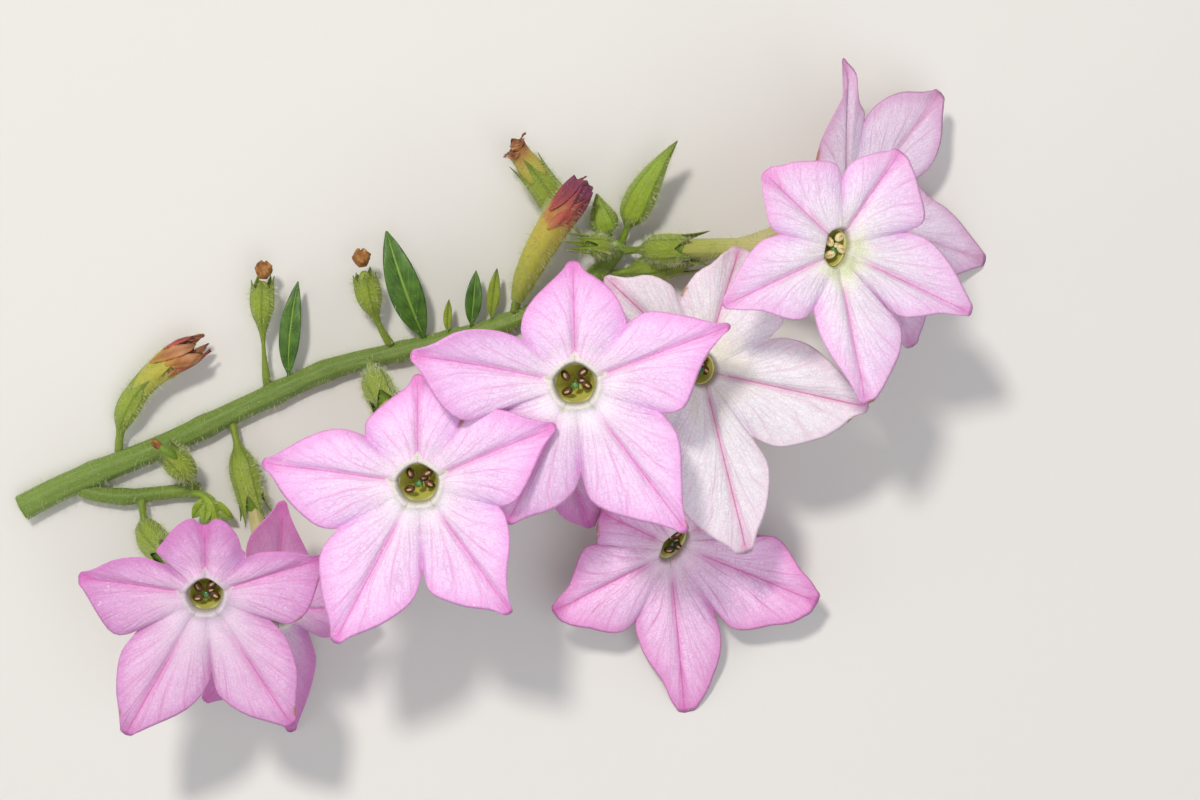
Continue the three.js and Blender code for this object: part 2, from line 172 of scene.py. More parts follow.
def throughPoints(points, steps=14):
    # a centripetal Catmull-Rom curve, as the stems' solids follow
    p = np.array(points, float)
    p = np.vstack([2 * p[0] - p[1], p, 2 * p[-1] - p[-2]])
    gap = np.sqrt(np.linalg.norm(np.diff(p, axis=0), axis=1))
    f = np.linspace(0, 1, steps, endpoint=False)[:, None]
    run = []
    for k in range(1, len(p) - 2):
        a, b, c, d = p[k - 1 : k + 3]
        ga, gb, gc = gap[k - 1 : k + 2]
        leaving = ((b - a) / ga - (c - a) / (ga + gb) + (c - b) / gb) * gb
        arriving = ((c - b) / gb - (d - b) / (gb + gc) + (d - c) / gc) * gb
        bend = 3 * (c - b) - 2 * leaving - arriving
        run.append(b + leaving * f + bend * f**2 + (2 * (b - c) + leaving + arriving) * f**3)
    return np.vstack([*run, p[-2]])


def profile(stations, d):
    # a smooth curve through (distance, value) stations
    x, y = np.array(stations, float).T
    slope = np.gradient(y, x)
    k = np.clip(np.searchsorted(x, d) - 1, 0, len(x) - 2)
    width = x[k + 1] - x[k]
    f = np.clip((d - x[k]) / width, 0, 1)
    return (
        y[k] * (1 + 2 * f) * (1 - f) ** 2
        + slope[k] * width * f * (1 - f) ** 2
        + y[k + 1] * f * f * (3 - 2 * f)
        + slope[k + 1] * width * f * f * (f - 1)
    )


def wander(angle, seed, waves, size):
    # a smooth closed wobble round a ring
    chance = np.random.RandomState(seed)
    total = np.zeros_like(angle)
    for wave in waves:
        total = total + chance.uniform(0.5, 1) * np.sin(wave * angle + chance.uniform(0, 2 * math.pi))
    return total * size / len(waves)


# Shapes: a shape is a dictionary of points, faces, a material for each face and values at the points


def shell(rows, materials, bands=None, **values):
    # rows is rings by columns by 3. The first and last rings close at their middles.
    rings, columns = rows.shape[:2]
    points = np.vstack([rows.reshape(-1, 3), rows[0].mean(0), rows[-1].mean(0)])
    here = np.arange(columns)
    after = (here + 1) % columns
    steps = np.arange(rings - 1)[:, None] * columns
    quads = [steps + here, steps + after, steps + columns + after, steps + columns + here]
    quads = np.stack(quads, -1).reshape(-1, 4)
    top = (rings - 1) * columns
    firstMiddle = np.full(columns, rings * columns)
    caps = np.vstack(
        [
            np.stack([firstMiddle, after, here], 1),
            np.stack([firstMiddle + 1, top + here, top + after], 1),
        ]
    )
    bands = np.zeros(rings - 1, int) if bands is None else np.asarray(bands)
    slots = np.concatenate([np.repeat(bands, columns), np.repeat([bands[0], bands[-1]], columns)])
    a, b, c, d = (points[quads[:, k]] for k in range(4))
    volume = np.sum(a * np.cross(b, c)) + np.sum(a * np.cross(c, d))
    a, b, c = (points[caps[:, k]] for k in range(3))
    volume += np.sum(a * np.cross(b, c))
    if volume < 0:
        quads = quads[:, ::-1]
        caps = caps[:, ::-1]
    full = {}
    for name, value in values.items():
        value = np.broadcast_to(value, (rings, columns))
        full[name] = np.concatenate([value.ravel(), [value[0].mean(), value[-1].mean()]])
    faces = quads.tolist() + caps.tolist()
    return {"points": points, "faces": faces, "materials": materials, "slots": slots, "values": full}


def turns(columns):
    # the angles of points spaced evenly round a line
    return np.arange(columns) * 2 * math.pi / columns


def shares(rings, columns, start=0.0):
    # for each point of a skin round a line: how far along it is, and the angle round the line
    along = np.linspace(start, 1, rings)[:, None] * np.ones(columns)
    return along, turns(columns)[None, :] * np.ones((rings, 1))


def thereAndBack(half):
    # a blade's points across its top and back under it, from -1 to 1, and whether they are underneath
    x = np.linspace(-1, 1, half)
    under = np.concatenate([np.zeros(half), np.ones(half - 2)])
    return np.concatenate([x, x[::-1][1:-1]])[None, :], under[None, :]


def sleeve(line, d, radius, angle):
    # rings of points round a line: d, radius and angle are arrays of rings by columns
    p, _, u, v = at(line, d)
    return p + u * (np.cos(angle) * radius)[..., None] + v * (np.sin(angle) * radius)[..., None]


def ball(centre, axes, radii, material, rings=8, columns=10):
    polar = np.linspace(0.12, math.pi - 0.12, rings)[:, None]
    around = turns(columns)[None, :]
    x = np.sin(polar) * np.cos(around) * radii[0]
    y = np.sin(polar) * np.sin(around) * radii[1]
    z = np.cos(polar) * radii[2] * np.ones_like(around)
    rows = np.asarray(centre) + x[..., None] * axes[0] + y[..., None] * axes[1] + z[..., None] * axes[2]
    return shell(rows, [material])


def rod(line, radius, material):
    d, angle = shares(10, 7)
    d = d * line["length"]
    return shell(sleeve(line, d, radius + 0 * d, angle), [material])


def makeObject(name, shapes):
    points = []
    faces = []
    slots = []
    materials = []
    values = {key: [] for key in attributeNames}
    count = 0
    for shape in shapes:
        for material in shape["materials"]:
            if material not in materials:
                materials.append(material)
        own = np.array([materials.index(m) for m in shape["materials"]])
        slots.append(own[shape["slots"]])
        faces.extend([[i + count for i in face] for face in shape["faces"]])
        points.append(shape["points"])
        size = len(shape["points"])
        for key in attributeNames:
            values[key].append(np.broadcast_to(shape["values"].get(key, 0.0), size))
        count += size
    place = inFrame(np.vstack(points))
    place[:, 2] = np.maximum(place[:, 2], onFloor)
    made = addMesh(name, place.tolist(), faces, materials)
    mesh = made.data
    mesh.polygons.foreach_set("material_index", np.concatenate(slots).astype(np.int32))
    for key in attributeNames:
        layer = mesh.attributes.new(key, "FLOAT", "POINT")
        layer.data.foreach_set("value", np.concatenate(values[key]).astype(np.float32))
    mesh.shade_smooth()
    mesh.update()
    return made


def finishPiece(name, shapes, solid):
    # solid is the node that the piece takes the place of, if any
    made = makeObject(name, shapes)
    if solid:
        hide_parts(solid)
    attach(made, "root")
    return made


# Materials


def node(tree, kind, links=None, **settings):
    # adds a node: a hex code among its links is a colour, a socket is joined, anything else is a fixed value
    made = tree.nodes.new(kind)
    for key, value in settings.items():
        setattr(made, key, value)
    for key, value in (links or {}).items():
        if isinstance(value, bpy.types.NodeSocket):
            tree.links.new(value, made.inputs[key])
        else:
            isHex = isinstance(value, str) and value.startswith("#")
            made.inputs[key].default_value = hexColour(value) if isHex else value
    return made


def newMaterial(name, **settings):
    material = bpy.data.materials.new(name)
    material.use_nodes = True
    tree = material.node_tree
    surface = tree.nodes["Principled BSDF"]
    for key, value in settings.items():
        surface.inputs[key.replace("_", " ")].default_value = value
    return material, tree, surface


def setRamp(ramp, stops):
    elements = ramp.color_ramp.elements
    while len(elements) < len(stops):
        elements.new(0.5)
    for element, (place, code) in zip(elements, stops):
        element.position = place
        element.color = hexColour(code)
    return ramp.outputs["Color"]


def scaleOf(size):
    # a pattern's scale, from how wide its spots are in millimetres
    return 1 / (size * millimetre)


def readings(tree, names, *noises):
    # what a material reads: values that its shape carries, its place on it, and noises by size and detail
    read = [node(tree, "ShaderNodeAttribute", attribute_name=name).outputs["Fac"] for name in names]
    place = node(tree, "ShaderNodeTexCoord").outputs["Object"]
    read.append(place)
    for size, detail in noises:
        noise = {"Vector": place, "Scale": scaleOf(size), "Detail": detail}
        read.append(node(tree, "ShaderNodeTexNoise", noise).outputs["Fac"])
    return read


def limited(tree, share, *ranges):
    # a share, or None at first, times what each value gives as it goes from low to high: least to most
    for value, low, high, least, most, *way in ranges:
        part = {"Value": value, "From Min": low, "From Max": high, "To Min": least, "To Max": most}
        way = way[0] if way else "SMOOTHSTEP"
        part = node(tree, "ShaderNodeMapRange", part, interpolation_type=way).outputs[0]
        if share is not None:
            part = node(tree, "ShaderNodeMath", {0: share, 1: part}, operation="MULTIPLY").outputs[0]
        share = part
    return share


def paint(tree, colour, *layers):
    # lays colours over each other: each layer is its colour, its share or None, and ranges that limit it
    for code, share, *ranges in layers:
        layer = {0: limited(tree, share, *ranges), 6: colour, 7: code}
        colour = node(tree, "ShaderNodeMix", layer, data_type="RGBA").outputs[2]
    return colour


def finishSurface(tree, surface, colour, height, strength, depth):
    # the colour, and a relief of that depth in metres
    tree.links.new(colour, surface.inputs["Base Color"])
    bump = node(tree, "ShaderNodeBump", {"Height": height, "Strength": strength, "Distance": depth})
    tree.links.new(bump.outputs[0], surface.inputs["Normal"])


def petalMaterial(name, tone):
    # A living petal: thin, velvety and matt, with light spread softly in it and hardly any gloss.
    material, tree, surface = newMaterial(
        name, Roughness=0.6, IOR=1.4, Subsurface_Weight=0.12, Subsurface_Scale=0.0012, Sheen_Weight=0.12
    )
    surface.inputs["Subsurface Radius"].default_value = (1.0, 0.45, 0.7)
    # slow bends about 9 mm long, clouds of 2.4 mm, grain of 0.28 mm, and nicks some 8 mm apart
    read = readings(tree, attributeNames[:7], (9.09, 1), (2.38, 3), (0.2778, 2), (7.69, 2))
    across, run, offMid, offSinus, rim, fromMouth, back, place, bend, cloud, grain, torn = read
    # streaks 0.5 mm wide and 10 mm long follow a fan that opens away from the midvein, and so does the
    # crepe, which is three times as fine
    shift = node(tree, "ShaderNodeVectorMath", {0: place, "Scale": 30.0}, operation="SCALE").outputs[0]
    skew = node(tree, "ShaderNodeMath", {0: run, 1: -0.42, 2: across}, operation="MULTIPLY_ADD").outputs[0]
    fan = node(tree, "ShaderNodeCombineXYZ", {0: skew, 1: run}).outputs[0]
    fan = {0: fan, 1: (20.0, 2.6, 0.0), 2: shift}
    fan = node(tree, "ShaderNodeVectorMath", fan, operation="MULTIPLY_ADD").outputs[0]
    streak = node(tree, "ShaderNodeTexNoise", {"Vector": fan, "Scale": 1.0, "Detail": 3.0}).outputs["Fac"]
    crepe = node(tree, "ShaderNodeVectorMath", {0: fan, 1: (3.4, 3.0, 3.0)}, operation="MULTIPLY").outputs[0]
    crepe = node(tree, "ShaderNodeTexNoise", {"Vector": crepe, "Scale": 1.0, "Detail": 2.0}).outputs["Fac"]
    # the finest veins join up into a net with meshes about 1.2 mm wide
    bent = node(tree, "ShaderNodeTexNoise", {"Vector": place, "Scale": scaleOf(1.43)}).outputs["Color"]
    bent = {0: bent, 1: (0.0008, 0.0008, 0.0008), 2: place}
    bent = node(tree, "ShaderNodeVectorMath", bent, operation="MULTIPLY_ADD").outputs[0]
    net = {"Vector": bent, "Scale": scaleOf(1.176)}
    net = node(tree, "ShaderNodeTexVoronoi", net, feature="DISTANCE_TO_EDGE")
    vein = limited(tree, None, (net.outputs["Distance"], 0.09, 0.02, 0, 0.6))
    # side veins leave the midvein one after another, "count" to half a lobe: main ones about 2 mm apart,
    # finer ones between them, and some that cross them at a narrow angle
    families = [(4.5, -0.3, 0.18, 1.0), (13.0, -0.12, 0.2, 0.7), (8.0, -0.8, 0.28, 0.5)]
    for count, slant, sway, seen in families:
        line = across
        for links in ({0: run, 1: slant}, {0: bend, 1: sway}):
            line = node(tree, "ShaderNodeMath", {**links, 2: line}, operation="MULTIPLY_ADD").outputs[0]
        line = {0: line, 1: count, 2: 40.0}
        line = node(tree, "ShaderNodeMath", line, operation="MULTIPLY_ADD").outputs[0]
        line = node(tree, "ShaderNodeMath", {0: line, 1: 0.5}, operation="PINGPONG").outputs[0]
        line = limited(tree, None, (line, 0.38, 0.49, 0, seen))
        vein = node(tree, "ShaderNodeMath", {0: vein, 1: line}, operation="MAXIMUM").outputs[0]
    # they start outside the throat, fade towards the rim, and come and go on the way
    fadeOut = (run, 0.65, 1.05, 1, 0.25, "LINEAR")
    patchy = (streak, 0.3, 0.62, 0.25, 1, "LINEAR")
    vein = limited(tree, vein, (run, 0.06, 0.28, 0, 1), fadeOut, patchy)
    sideVeins = {0: vein, 1: tone["sideVeins"]}
    sideVeins = node(tree, "ShaderNodeMath", sideVeins, operation="MULTIPLY").outputs[0]
    # the midvein, a soft band with a crisp line in it
    band = limited(tree, None, (offMid, 1.4, 0, 0, 0.34))
    midvein = limited(tree, None, (offMid, 0.28, 0.06, 0, tone["midvein"]))
    midvein = node(tree, "ShaderNodeMath", {0: band, 1: midvein}, operation="MAXIMUM").outputs[0]
    midvein = limited(tree, midvein, (run, 0.05, 0.2, 0, 1))
    # the colour from the throat to the rim, above and below, with the veins showing through to the back
    shifted = node(tree, "ShaderNodeMath", {0: streak, 1: 0.2, 2: -0.1}, operation="MULTIPLY_ADD").outputs[0]
    shifted = node(tree, "ShaderNodeMath", {0: shifted, 1: run}, operation="ADD").outputs[0]
    inward = {0: across, 1: -0.12, 2: shifted}
    inward = node(tree, "ShaderNodeMath", inward, operation="MULTIPLY_ADD").outputs[0]
    colour = setRamp(node(tree, "ShaderNodeValToRGB", {0: inward}), tone["ramp"])
    backRamp = [(0.0, tone["backInner"]), (0.35, tone["back"]), (1.0, tone["back"])]
    under = setRamp(node(tree, "ShaderNodeValToRGB", {0: shifted}), backRamp)
    through = node(tree, "ShaderNodeMath", {0: midvein, 1: 0.6}, operation="MULTIPLY").outputs[0]
    through = {0: vein, 1: 0.25, 2: through}
    through = node(tree, "ShaderNodeMath", through, operation="MULTIPLY_ADD").outputs[0]
    under = paint(tree, under, (tone["vein"], through))
    # the cream ring round the throat reaches out along each midvein
    star = node(tree, "ShaderNodeMath", {0: 1.0, 1: offMid}, operation="SUBTRACT", use_clamp=True).outputs[0]
    reach = node(tree, "ShaderNodeMath", {0: fromMouth, 1: star}, operation="SUBTRACT").outputs[0]
    # painted highlights: bright specks 0.3 mm across and 1.6 mm apart, where light glints on the petal's
    # cells
    glintSpeck = {"Vector": place, "Scale": scaleOf(1.613)}
    glintSpeck = node(tree, "ShaderNodeTexVoronoi", glintSpeck).outputs["Distance"]
    colour = paint(
        tree,
        colour,
        (tone["vein"], sideVeins),
        # painted shade: lavender in the fold valleys that run in from between the lobes
        (tone["valley"], None, (offSinus, 4.2, 0, 0, 1), (run, 0.25, 0.85, 0, 0.3)),
        # the midvein, and the darker point that it ends in
        (tone["vein"], midvein),
        (tone["vein"], None, (rim, 3.2, 0.3, 0, 0.55), (offMid, 2.2, 0.3, 0, 1)),
        # deeper towards the margin, and deepest on its thin edge
        (tone["margin"], None, (rim, 2.6, 0.2, 0, 0.48), (run, 0.05, 0.2, 0, 1)),
        (tone["rim"], None, (rim, 0.35, 0.05, 0, 0.45)),
        # the ring, a grey mark where each midvein crosses it, and the olive lip inside it
        (tone["cream"], None, (reach, 1.55, 1.05, 0, tone["ring"])),
        ("#8f8d78", None, (offMid, 0.2, 0.04, 0, 0.32), (fromMouth, 1.9, 1.3, 0, 1, "LINEAR")),
        ("#8b8a3a", None, (fromMouth, 0.42, 0.1, 0, 0.7, "LINEAR")),
        (under, back),
        # painted highlight specks where light glints on the petal, and a few brown nicks in the rim
        ("#f4ead6", None, (glintSpeck, 0.13, 0.07, 0, 0.6), (cloud, 0.54, 0.6, 0, 1, "LINEAR")),
        ("#a9793f", None, (rim, 0.7, 0.25, 0, 0.75), (torn, 0.66, 0.69, 0, 1, "LINEAR")),
    )
    # fine mottling in brightness
    value = None
    for noise, dark, light in ((grain, 0.9, 1.08), (crepe, 0.95, 1.05), (cloud, 0.96, 1.03)):
        value = limited(tree, value, (noise, 0.3, 0.7, dark, light, "LINEAR"))
    colour = node(tree, "ShaderNodeHueSaturation", {"Value": value, "Color": colour}).outputs["Color"]
    # veins lie in shallow grooves between puffed cells
    height = node(tree, "ShaderNodeMath", {0: vein, 1: -0.8}, operation="MULTIPLY").outputs[0]
    for links in ({0: grain, 1: 0.5}, {0: streak, 1: 1.6}, {0: crepe, 1: 1.2}):
        height = node(tree, "ShaderNodeMath", {**links, 2: height}, operation="MULTIPLY_ADD").outputs[0]
    finishSurface(tree, surface, colour, height, 0.65, 0.00014)
    return material


def throatMaterial():
    # The wet-looking olive lining of the tube, smoother than the petals
    material, tree, surface = newMaterial("throat lining", Roughness=0.38, IOR=1.4)
    depth, _, cloud = readings(tree, ["fromMouth"], (1.111, 3))
    down = node(tree, "ShaderNodeMath", {0: depth, 1: -0.1}, operation="MULTIPLY").outputs[0]
    down = node(tree, "ShaderNodeMath", {0: cloud, 1: 0.12, 2: down}, operation="MULTIPLY_ADD").outputs[0]
    # Painted light: the lining is painted paler than its own olive, as if lit inside the throat; it darkens
    # deeper down the tube.
    stops = [(0.1, "#e0e0a2"), (0.3, "#ceca6c"), (0.5, "#beba56"), (0.8, "#b0a848")]
    colour = setRamp(node(tree, "ShaderNodeValToRGB", {0: down}), stops)
    finishSurface(tree, surface, colour, cloud, 0.4, 0.0002)
    return material


def tubeMaterial():
    # The outside of a bloom's tube: pale green, matt with fine hair, lined with darker veins
    material, tree, surface = newMaterial("bloom tube", Roughness=0.62, IOR=1.4, Sheen_Weight=0.15)
    down, across, _, cloud = readings(tree, ("fromMouth", "across"), (1.667, 3))
    far = node(tree, "ShaderNodeMath", {0: down, 1: -0.028}, operation="MULTIPLY").outputs[0]
    far = node(tree, "ShaderNodeMath", {0: cloud, 1: 0.16, 2: far}, operation="MULTIPLY_ADD").outputs[0]
    stops = [(0.1, "#d8c8b6"), (0.4, "#cbbf90"), (0.75, "#bfb878"), (1.0, "#a9ac55")]
    colour = setRamp(node(tree, "ShaderNodeValToRGB", {0: far}), stops)
    lines = node(tree, "ShaderNodeMath", {0: across, 1: 2.0}, operation="MULTIPLY").outputs[0]
    lines = node(tree, "ShaderNodeMath", {0: lines, 1: 0.5}, operation="PINGPONG").outputs[0]
    colour = paint(tree, colour, ("#8f9a48", None, (lines, 0.34, 0.5, 0, 0.4)))
    finishSurface(tree, surface, colour, cloud, 0.35, 0.0002)
    return material


def greenMaterial(name, tone):
    # Living green skin of calyces, buds and stems: matt and slightly waxy, darker along its ribs.
    # run goes from a piece's foot to its tip, across from one rib to the groove beside it.
    material, tree, surface = newMaterial(name, Roughness=0.5, IOR=1.42, Sheen_Weight=0.1)
    run, across, _, cloud, grain = readings(tree, ("run", "across"), (2, 4), (0.3846, 3))
    moved = node(tree, "ShaderNodeMath", {0: cloud, 1: 0.3, 2: -0.15}, operation="MULTIPLY_ADD").outputs[0]
    moved = node(tree, "ShaderNodeMath", {0: moved, 1: run}, operation="ADD").outputs[0]
    colour = setRamp(node(tree, "ShaderNodeValToRGB", {0: moved}), tone["ramp"])
    # pale lines about 0.2 mm wide run lengthwise between the ribs
    along = node(tree, "ShaderNodeCombineXYZ", {0: across, 1: run}).outputs[0]
    along = {0: along, 1: (9.0, tone["lines"], 0.0)}
    along = node(tree, "ShaderNodeVectorMath", along, operation="MULTIPLY").outputs[0]
    streak = node(tree, "ShaderNodeTexNoise", {"Vector": along, "Scale": 1.0, "Detail": 3.0}).outputs["Fac"]
    rib = (tone["rib"], None, (across, 0.24, 0.02, 0, tone["ribs"]))
    colour = paint(tree, colour, rib, (tone["light"], None, (streak, 0.45, 0.7, 0, 0.4)))
    value = limited(tree, None, (grain, 0.25, 0.75, 0.86, 1.14, "LINEAR"))
    colour = node(tree, "ShaderNodeHueSaturation", {"Value": value, "Color": colour}).outputs["Color"]
    height = node(tree, "ShaderNodeMath", {0: cloud, 1: 1.5, 2: grain}, operation="MULTIPLY_ADD").outputs[0]
    finishSurface(tree, surface, colour, height, 0.5, 0.00015)
    return material


def leafMaterial():
    # A fresh leaf: a little waxy above, paler and duller below, with a light midrib and side veins
    material, tree, surface = newMaterial("leaf blade", Roughness=0.42, IOR=1.45)
    across, run, back, _, cloud = readings(tree, ("across", "run", "back"), (2, 4))
    stops = [(0.3, "#33561a"), (0.55, "#47701f"), (0.75, "#5c812a")]
    colour = setRamp(node(tree, "ShaderNodeValToRGB", {0: cloud}), stops)
    # side veins about 2 mm apart slant forward from the midrib
    rank = node(tree, "ShaderNodeMath", {0: across, 1: -0.35, 2: run}, operation="MULTIPLY_ADD").outputs[0]
    rank = node(tree, "ShaderNodeMath", {0: rank, 1: 9.0, 2: 10.0}, operation="MULTIPLY_ADD").outputs[0]
    rank = node(tree, "ShaderNodeMath", {0: rank, 1: 0.5}, operation="PINGPONG").outputs[0]
    veins = limited(tree, None, (rank, 0.4, 0.5, 0, 0.35))
    midrib = limited(tree, None, (across, 0.12, 0.03, 0, 0.9))
    both = node(tree, "ShaderNodeMath", {0: veins, 1: midrib}, operation="MAXIMUM").outputs[0]
    colour = paint(tree, colour, ("#86a944", both), ("#7c9c56", None, (back, 0, 1, 0, 0.55, "LINEAR")))
    height = node(tree, "ShaderNodeMath", {0: both, 1: -1.2, 2: cloud}, operation="MULTIPLY_ADD").outputs[0]
    finishSurface(tree, surface, colour, height, 0.5, 0.0002)
    return material


def mottledMaterial(name, stops, roughness, size, depth):
    # Small dry or waxy parts whose colour shifts in soft patches "size" millimetres wide
    material, tree, surface = newMaterial(name, Roughness=roughness, IOR=1.45)
    _, patch = readings(tree, [], (size, 4))
    colour = setRamp(node(tree, "ShaderNodeValToRGB", {0: patch}), stops)
    finishSurface(tree, surface, colour, patch, 0.6, depth)
    return material


def witheredMaterial(name, stops):
    # Faded petal, dull and wrinkled. run goes from the foot to the torn edge, across into the folds, where
    # shade is painted.
    material, tree, surface = newMaterial(name, Roughness=0.66, IOR=1.4, Sheen_Weight=0.1)
    run, across, _, cloud = readings(tree, ("run", "across"), (2.222, 4))
    moved = node(tree, "ShaderNodeMath", {0: cloud, 1: 0.24, 2: -0.12}, operation="MULTIPLY_ADD").outputs[0]
    moved = node(tree, "ShaderNodeMath", {0: moved, 1: run}, operation="ADD").outputs[0]
    colour = setRamp(node(tree, "ShaderNodeValToRGB", {0: moved}), stops)
    # painted shade: darker in the folds, in the hollow end and on the hidden sides of the flaps
    colour = paint(tree, colour, ("#5a2a26", None, (across, 0, 1, 0, 0.45, "LINEAR")))
    finishSurface(tree, surface, colour, cloud, 0.6, 0.0003)
    return material


# Petal tones: the ramp goes from the throat to the rim. sideVeins, midvein and ring say how strong each is.
# The valley colour is painted shade in the folds that run in from between the lobes.
pinkTone = {
    "ramp": [
        (0.0, "#f8eef5"),
        (0.14, "#f6e1f4"),
        (0.3, "#f6d7f5"),
        (0.64, "#f7cdf5"),
        (0.88, "#f2b8ea"),
        (1.0, "#e28bcd"),
    ],
    "margin": "#e999d8",
    "vein": "#d666b4",
    "valley": "#ccb6ea",
    "rim": "#e07cc6",
    "back": "#e6bfe0",
    "backInner": "#dcd2b4",
    "sideVeins": 0.42,
    "midvein": 0.7,
    "ring": 0.9,
    "cream": "#ebe5dc",
}
mauveTone = {
    **pinkTone,
    "ramp": [(0.0, "#e6cde1"), (0.12, "#e6c3df"), (0.26, "#e6b8dd"), (0.6, "#d7a0cf"), (1.0, "#c57ab6")],
    "margin": "#c97cb8",
    "vein": "#c85aa6",
    "midvein": 0.75,
    "ring": 0.7,
    "cream": "#dcd2d6",
}
# Painted light: this deeply veined rose tone is painted lighter than the bloom's own pink, as if lit,
# because the blooms above shade it
litRoseTone = {
    **pinkTone,
    "ramp": [(0.0, "#fbdcee"), (0.2, "#fcd6f3"), (0.6, "#fbcff4"), (1.0, "#f0a6da")],
    "margin": "#e086c6",
    "vein": "#cf4fa6",
    "rim": "#b8468e",
    "valley": "#e2c2ea",
    "cream": "#f0dee4",
    "sideVeins": 0.55,
    "midvein": 0.75,
    "ring": 0.25,
}
softPinkTone = {
    **pinkTone,
    "ramp": [
        (0.0, "#dde3b4"),
        (0.08, "#f0efe0"),
        (0.18, "#f5edf5"),
        (0.6, "#f7dbf7"),
        (0.87, "#f5caee"),
        (1.0, "#eda8d9"),
    ],
    "margin": "#f0b2e2",
    "sideVeins": 0.38,
    "ring": 0.2,
}
# Painted shade: a darker copy of the pink tone, for the blooms that lie in shade under the others
shadedPinkTone = {
    **pinkTone,
    "ramp": [(0.0, "#e6d0e2"), (0.3, "#dfb8da"), (0.6, "#d99dce"), (1.0, "#cc80ba")],
    "margin": "#c878b4",
    "ring": 0.8,
}
blushTone = {
    **pinkTone,
    "ramp": [(0.0, "#e8e6d2"), (0.3, "#f4f1f4"), (0.7, "#f2ebf1"), (0.93, "#f0e1ec"), (1.0, "#e8cadf")],
    "vein": "#c85a9c",
    "valley": "#d9cbe0",
    "rim": "#e0b4cc",
    "margin": "#eed6e2",
    "back": "#f0e2e8",
    "sideVeins": 0.3,
    "midvein": 0.8,
    "ring": 0.4,
}
paleVeinedTone = {
    **pinkTone,
    "ramp": [(0.0, "#eee2f0"), (0.3, "#f0e2f4"), (0.7, "#eed9ef"), (1.0, "#e2b9da")],
    "margin": "#d49cc4",
    "midvein": 0.5,
    "vein": "#bf6fa2",
    "rim": "#b85f98",
    "ring": 0.4,
}
petalTones = {
    "pink": petalMaterial("velvety pink petal", pinkTone),
    "mauve": petalMaterial("velvety mauve petal", mauveTone),
    "rose": petalMaterial("deep veined rose petal", litRoseTone),
    "softPink": petalMaterial("soft pink petal", softPinkTone),
    "shadedPink": petalMaterial("pink petal in painted shade", shadedPinkTone),
    "blush": petalMaterial("blush white petal", blushTone),
    "paleVeined": petalMaterial("pale veined petal", paleVeinedTone),
}
throatLining = throatMaterial()
tubeSkin = tubeMaterial()
calyxSkin = greenMaterial(
    "hairy calyx",
    {
        "ramp": [(0.0, "#748a2a"), (0.35, "#8a9e2a"), (0.7, "#839626"), (0.92, "#697d24"), (1.0, "#4f421e")],
        "ribs": 0.6,
        "rib": "#566f1c",
        "lines": 3.0,
        "light": "#aab856",
    },
)
budSkin = greenMaterial(
    "green bud",
    {
        "ramp": [(0.0, "#728c26"), (0.3, "#8da62a"), (0.7, "#86a028"), (0.9, "#768e28"), (1.0, "#4a3a1c")],
        "ribs": 0.7,
        "rib": "#5f7f20",
        "lines": 3.0,
        "light": "#a9c04a",
    },
)
stemSkin = greenMaterial(
    "green stem",
    {
        "ramp": [(0.0, "#6f8a36"), (0.5, "#657f30"), (1.0, "#7c9636")],
        "ribs": 0.4,
        "rib": "#56782a",
        "lines": 26.0,
        "light": "#9aa85a",
    },
)
leafSkin = leafMaterial()
fadedTube = witheredMaterial(
    "faded bloom tube",
    [(0.0, "#98a247"), (0.3, "#a9ad42"), (0.7, "#b5ab45"), (0.86, "#a9853f"), (1.0, "#8f5a3c")],
)
furledHead = witheredMaterial(
    "furled bloom",
    [
        (0.0, "#9aa442"),
        (0.4, "#b3ae45"),
        (0.62, "#b9a846"),
        (0.71, "#b57f44"),
        (0.78, "#a34d42"),
        (0.9, "#83384a"),
        (1.0, "#7a3a58"),
    ],
)
redFlap = witheredMaterial(
    "furled red petal", [(0.0, "#b5564a"), (0.45, "#8a3b45"), (0.8, "#7c3550"), (1.0, "#a55a5c")]
)
salmonFlap = witheredMaterial(
    "furled salmon petal", [(0.0, "#b98a4a"), (0.4, "#b5564a"), (0.8, "#a04a48"), (1.0, "#8a4a3a")]
)
paperFlap = witheredMaterial(
    "papery brown petal", [(0.0, "#b9913f"), (0.35, "#b0743f"), (0.7, "#c08a5c"), (1.0, "#8a5530")]
)
antherSkin = mottledMaterial("anther", [(0.35, "#2f1c10"), (0.65, "#5f3c20")], 0.55, 0.556, 0.0001)
pollenSkin = mottledMaterial("pollen", [(0.35, "#a9783e"), (0.65, "#e3c493")], 0.85, 0.2, 0.0001)
paleAntherSkin = mottledMaterial("ripe anther", [(0.35, "#cdb878"), (0.65, "#efe4b6")], 0.7, 0.4, 0.0001)
stigmaSkin = mottledMaterial("wet stigma", [(0.35, "#2f5a3a"), (0.65, "#5f8f4c")], 0.22, 0.667, 0.0001)
filamentSkin = mottledMaterial("filament", [(0.35, "#b7bb6a"), (0.65, "#d3d38e")], 0.5, 1.111, 0.0001)
capsuleSkin = mottledMaterial("seed capsule", [(0.3, "#7a8f34"), (0.6, "#9aa545")], 0.5, 2.0, 0.0002)
dryPetalSkin = mottledMaterial(
    "dry brown petal", [(0.3, "#6a4426"), (0.5, "#9a6634"), (0.7, "#c29350")], 0.75, 1.429, 0.0003
)
hairSkin = mottledMaterial("glandular hair", [(0.3, "#bcc48a"), (0.7, "#dfe3bb")], 0.45, 1.111, 0.00001)
print("materials ready")

# Stems

seatGap = 0.38  # from a stem's skin to the foot of what it carries
groundGap = 0.02  # from the floor to the stem's skin


def stemOf(points, radius, rise):
    along = [k / (len(points) - 1) for k in range(len(points))]
    run = [[x, y, radius(f) + groundGap + rise(f)] for (x, y), f in zip(points, along)]
    return {"line": lineThrough(throughPoints(run), [0, 0, 1]), "radius": radius}


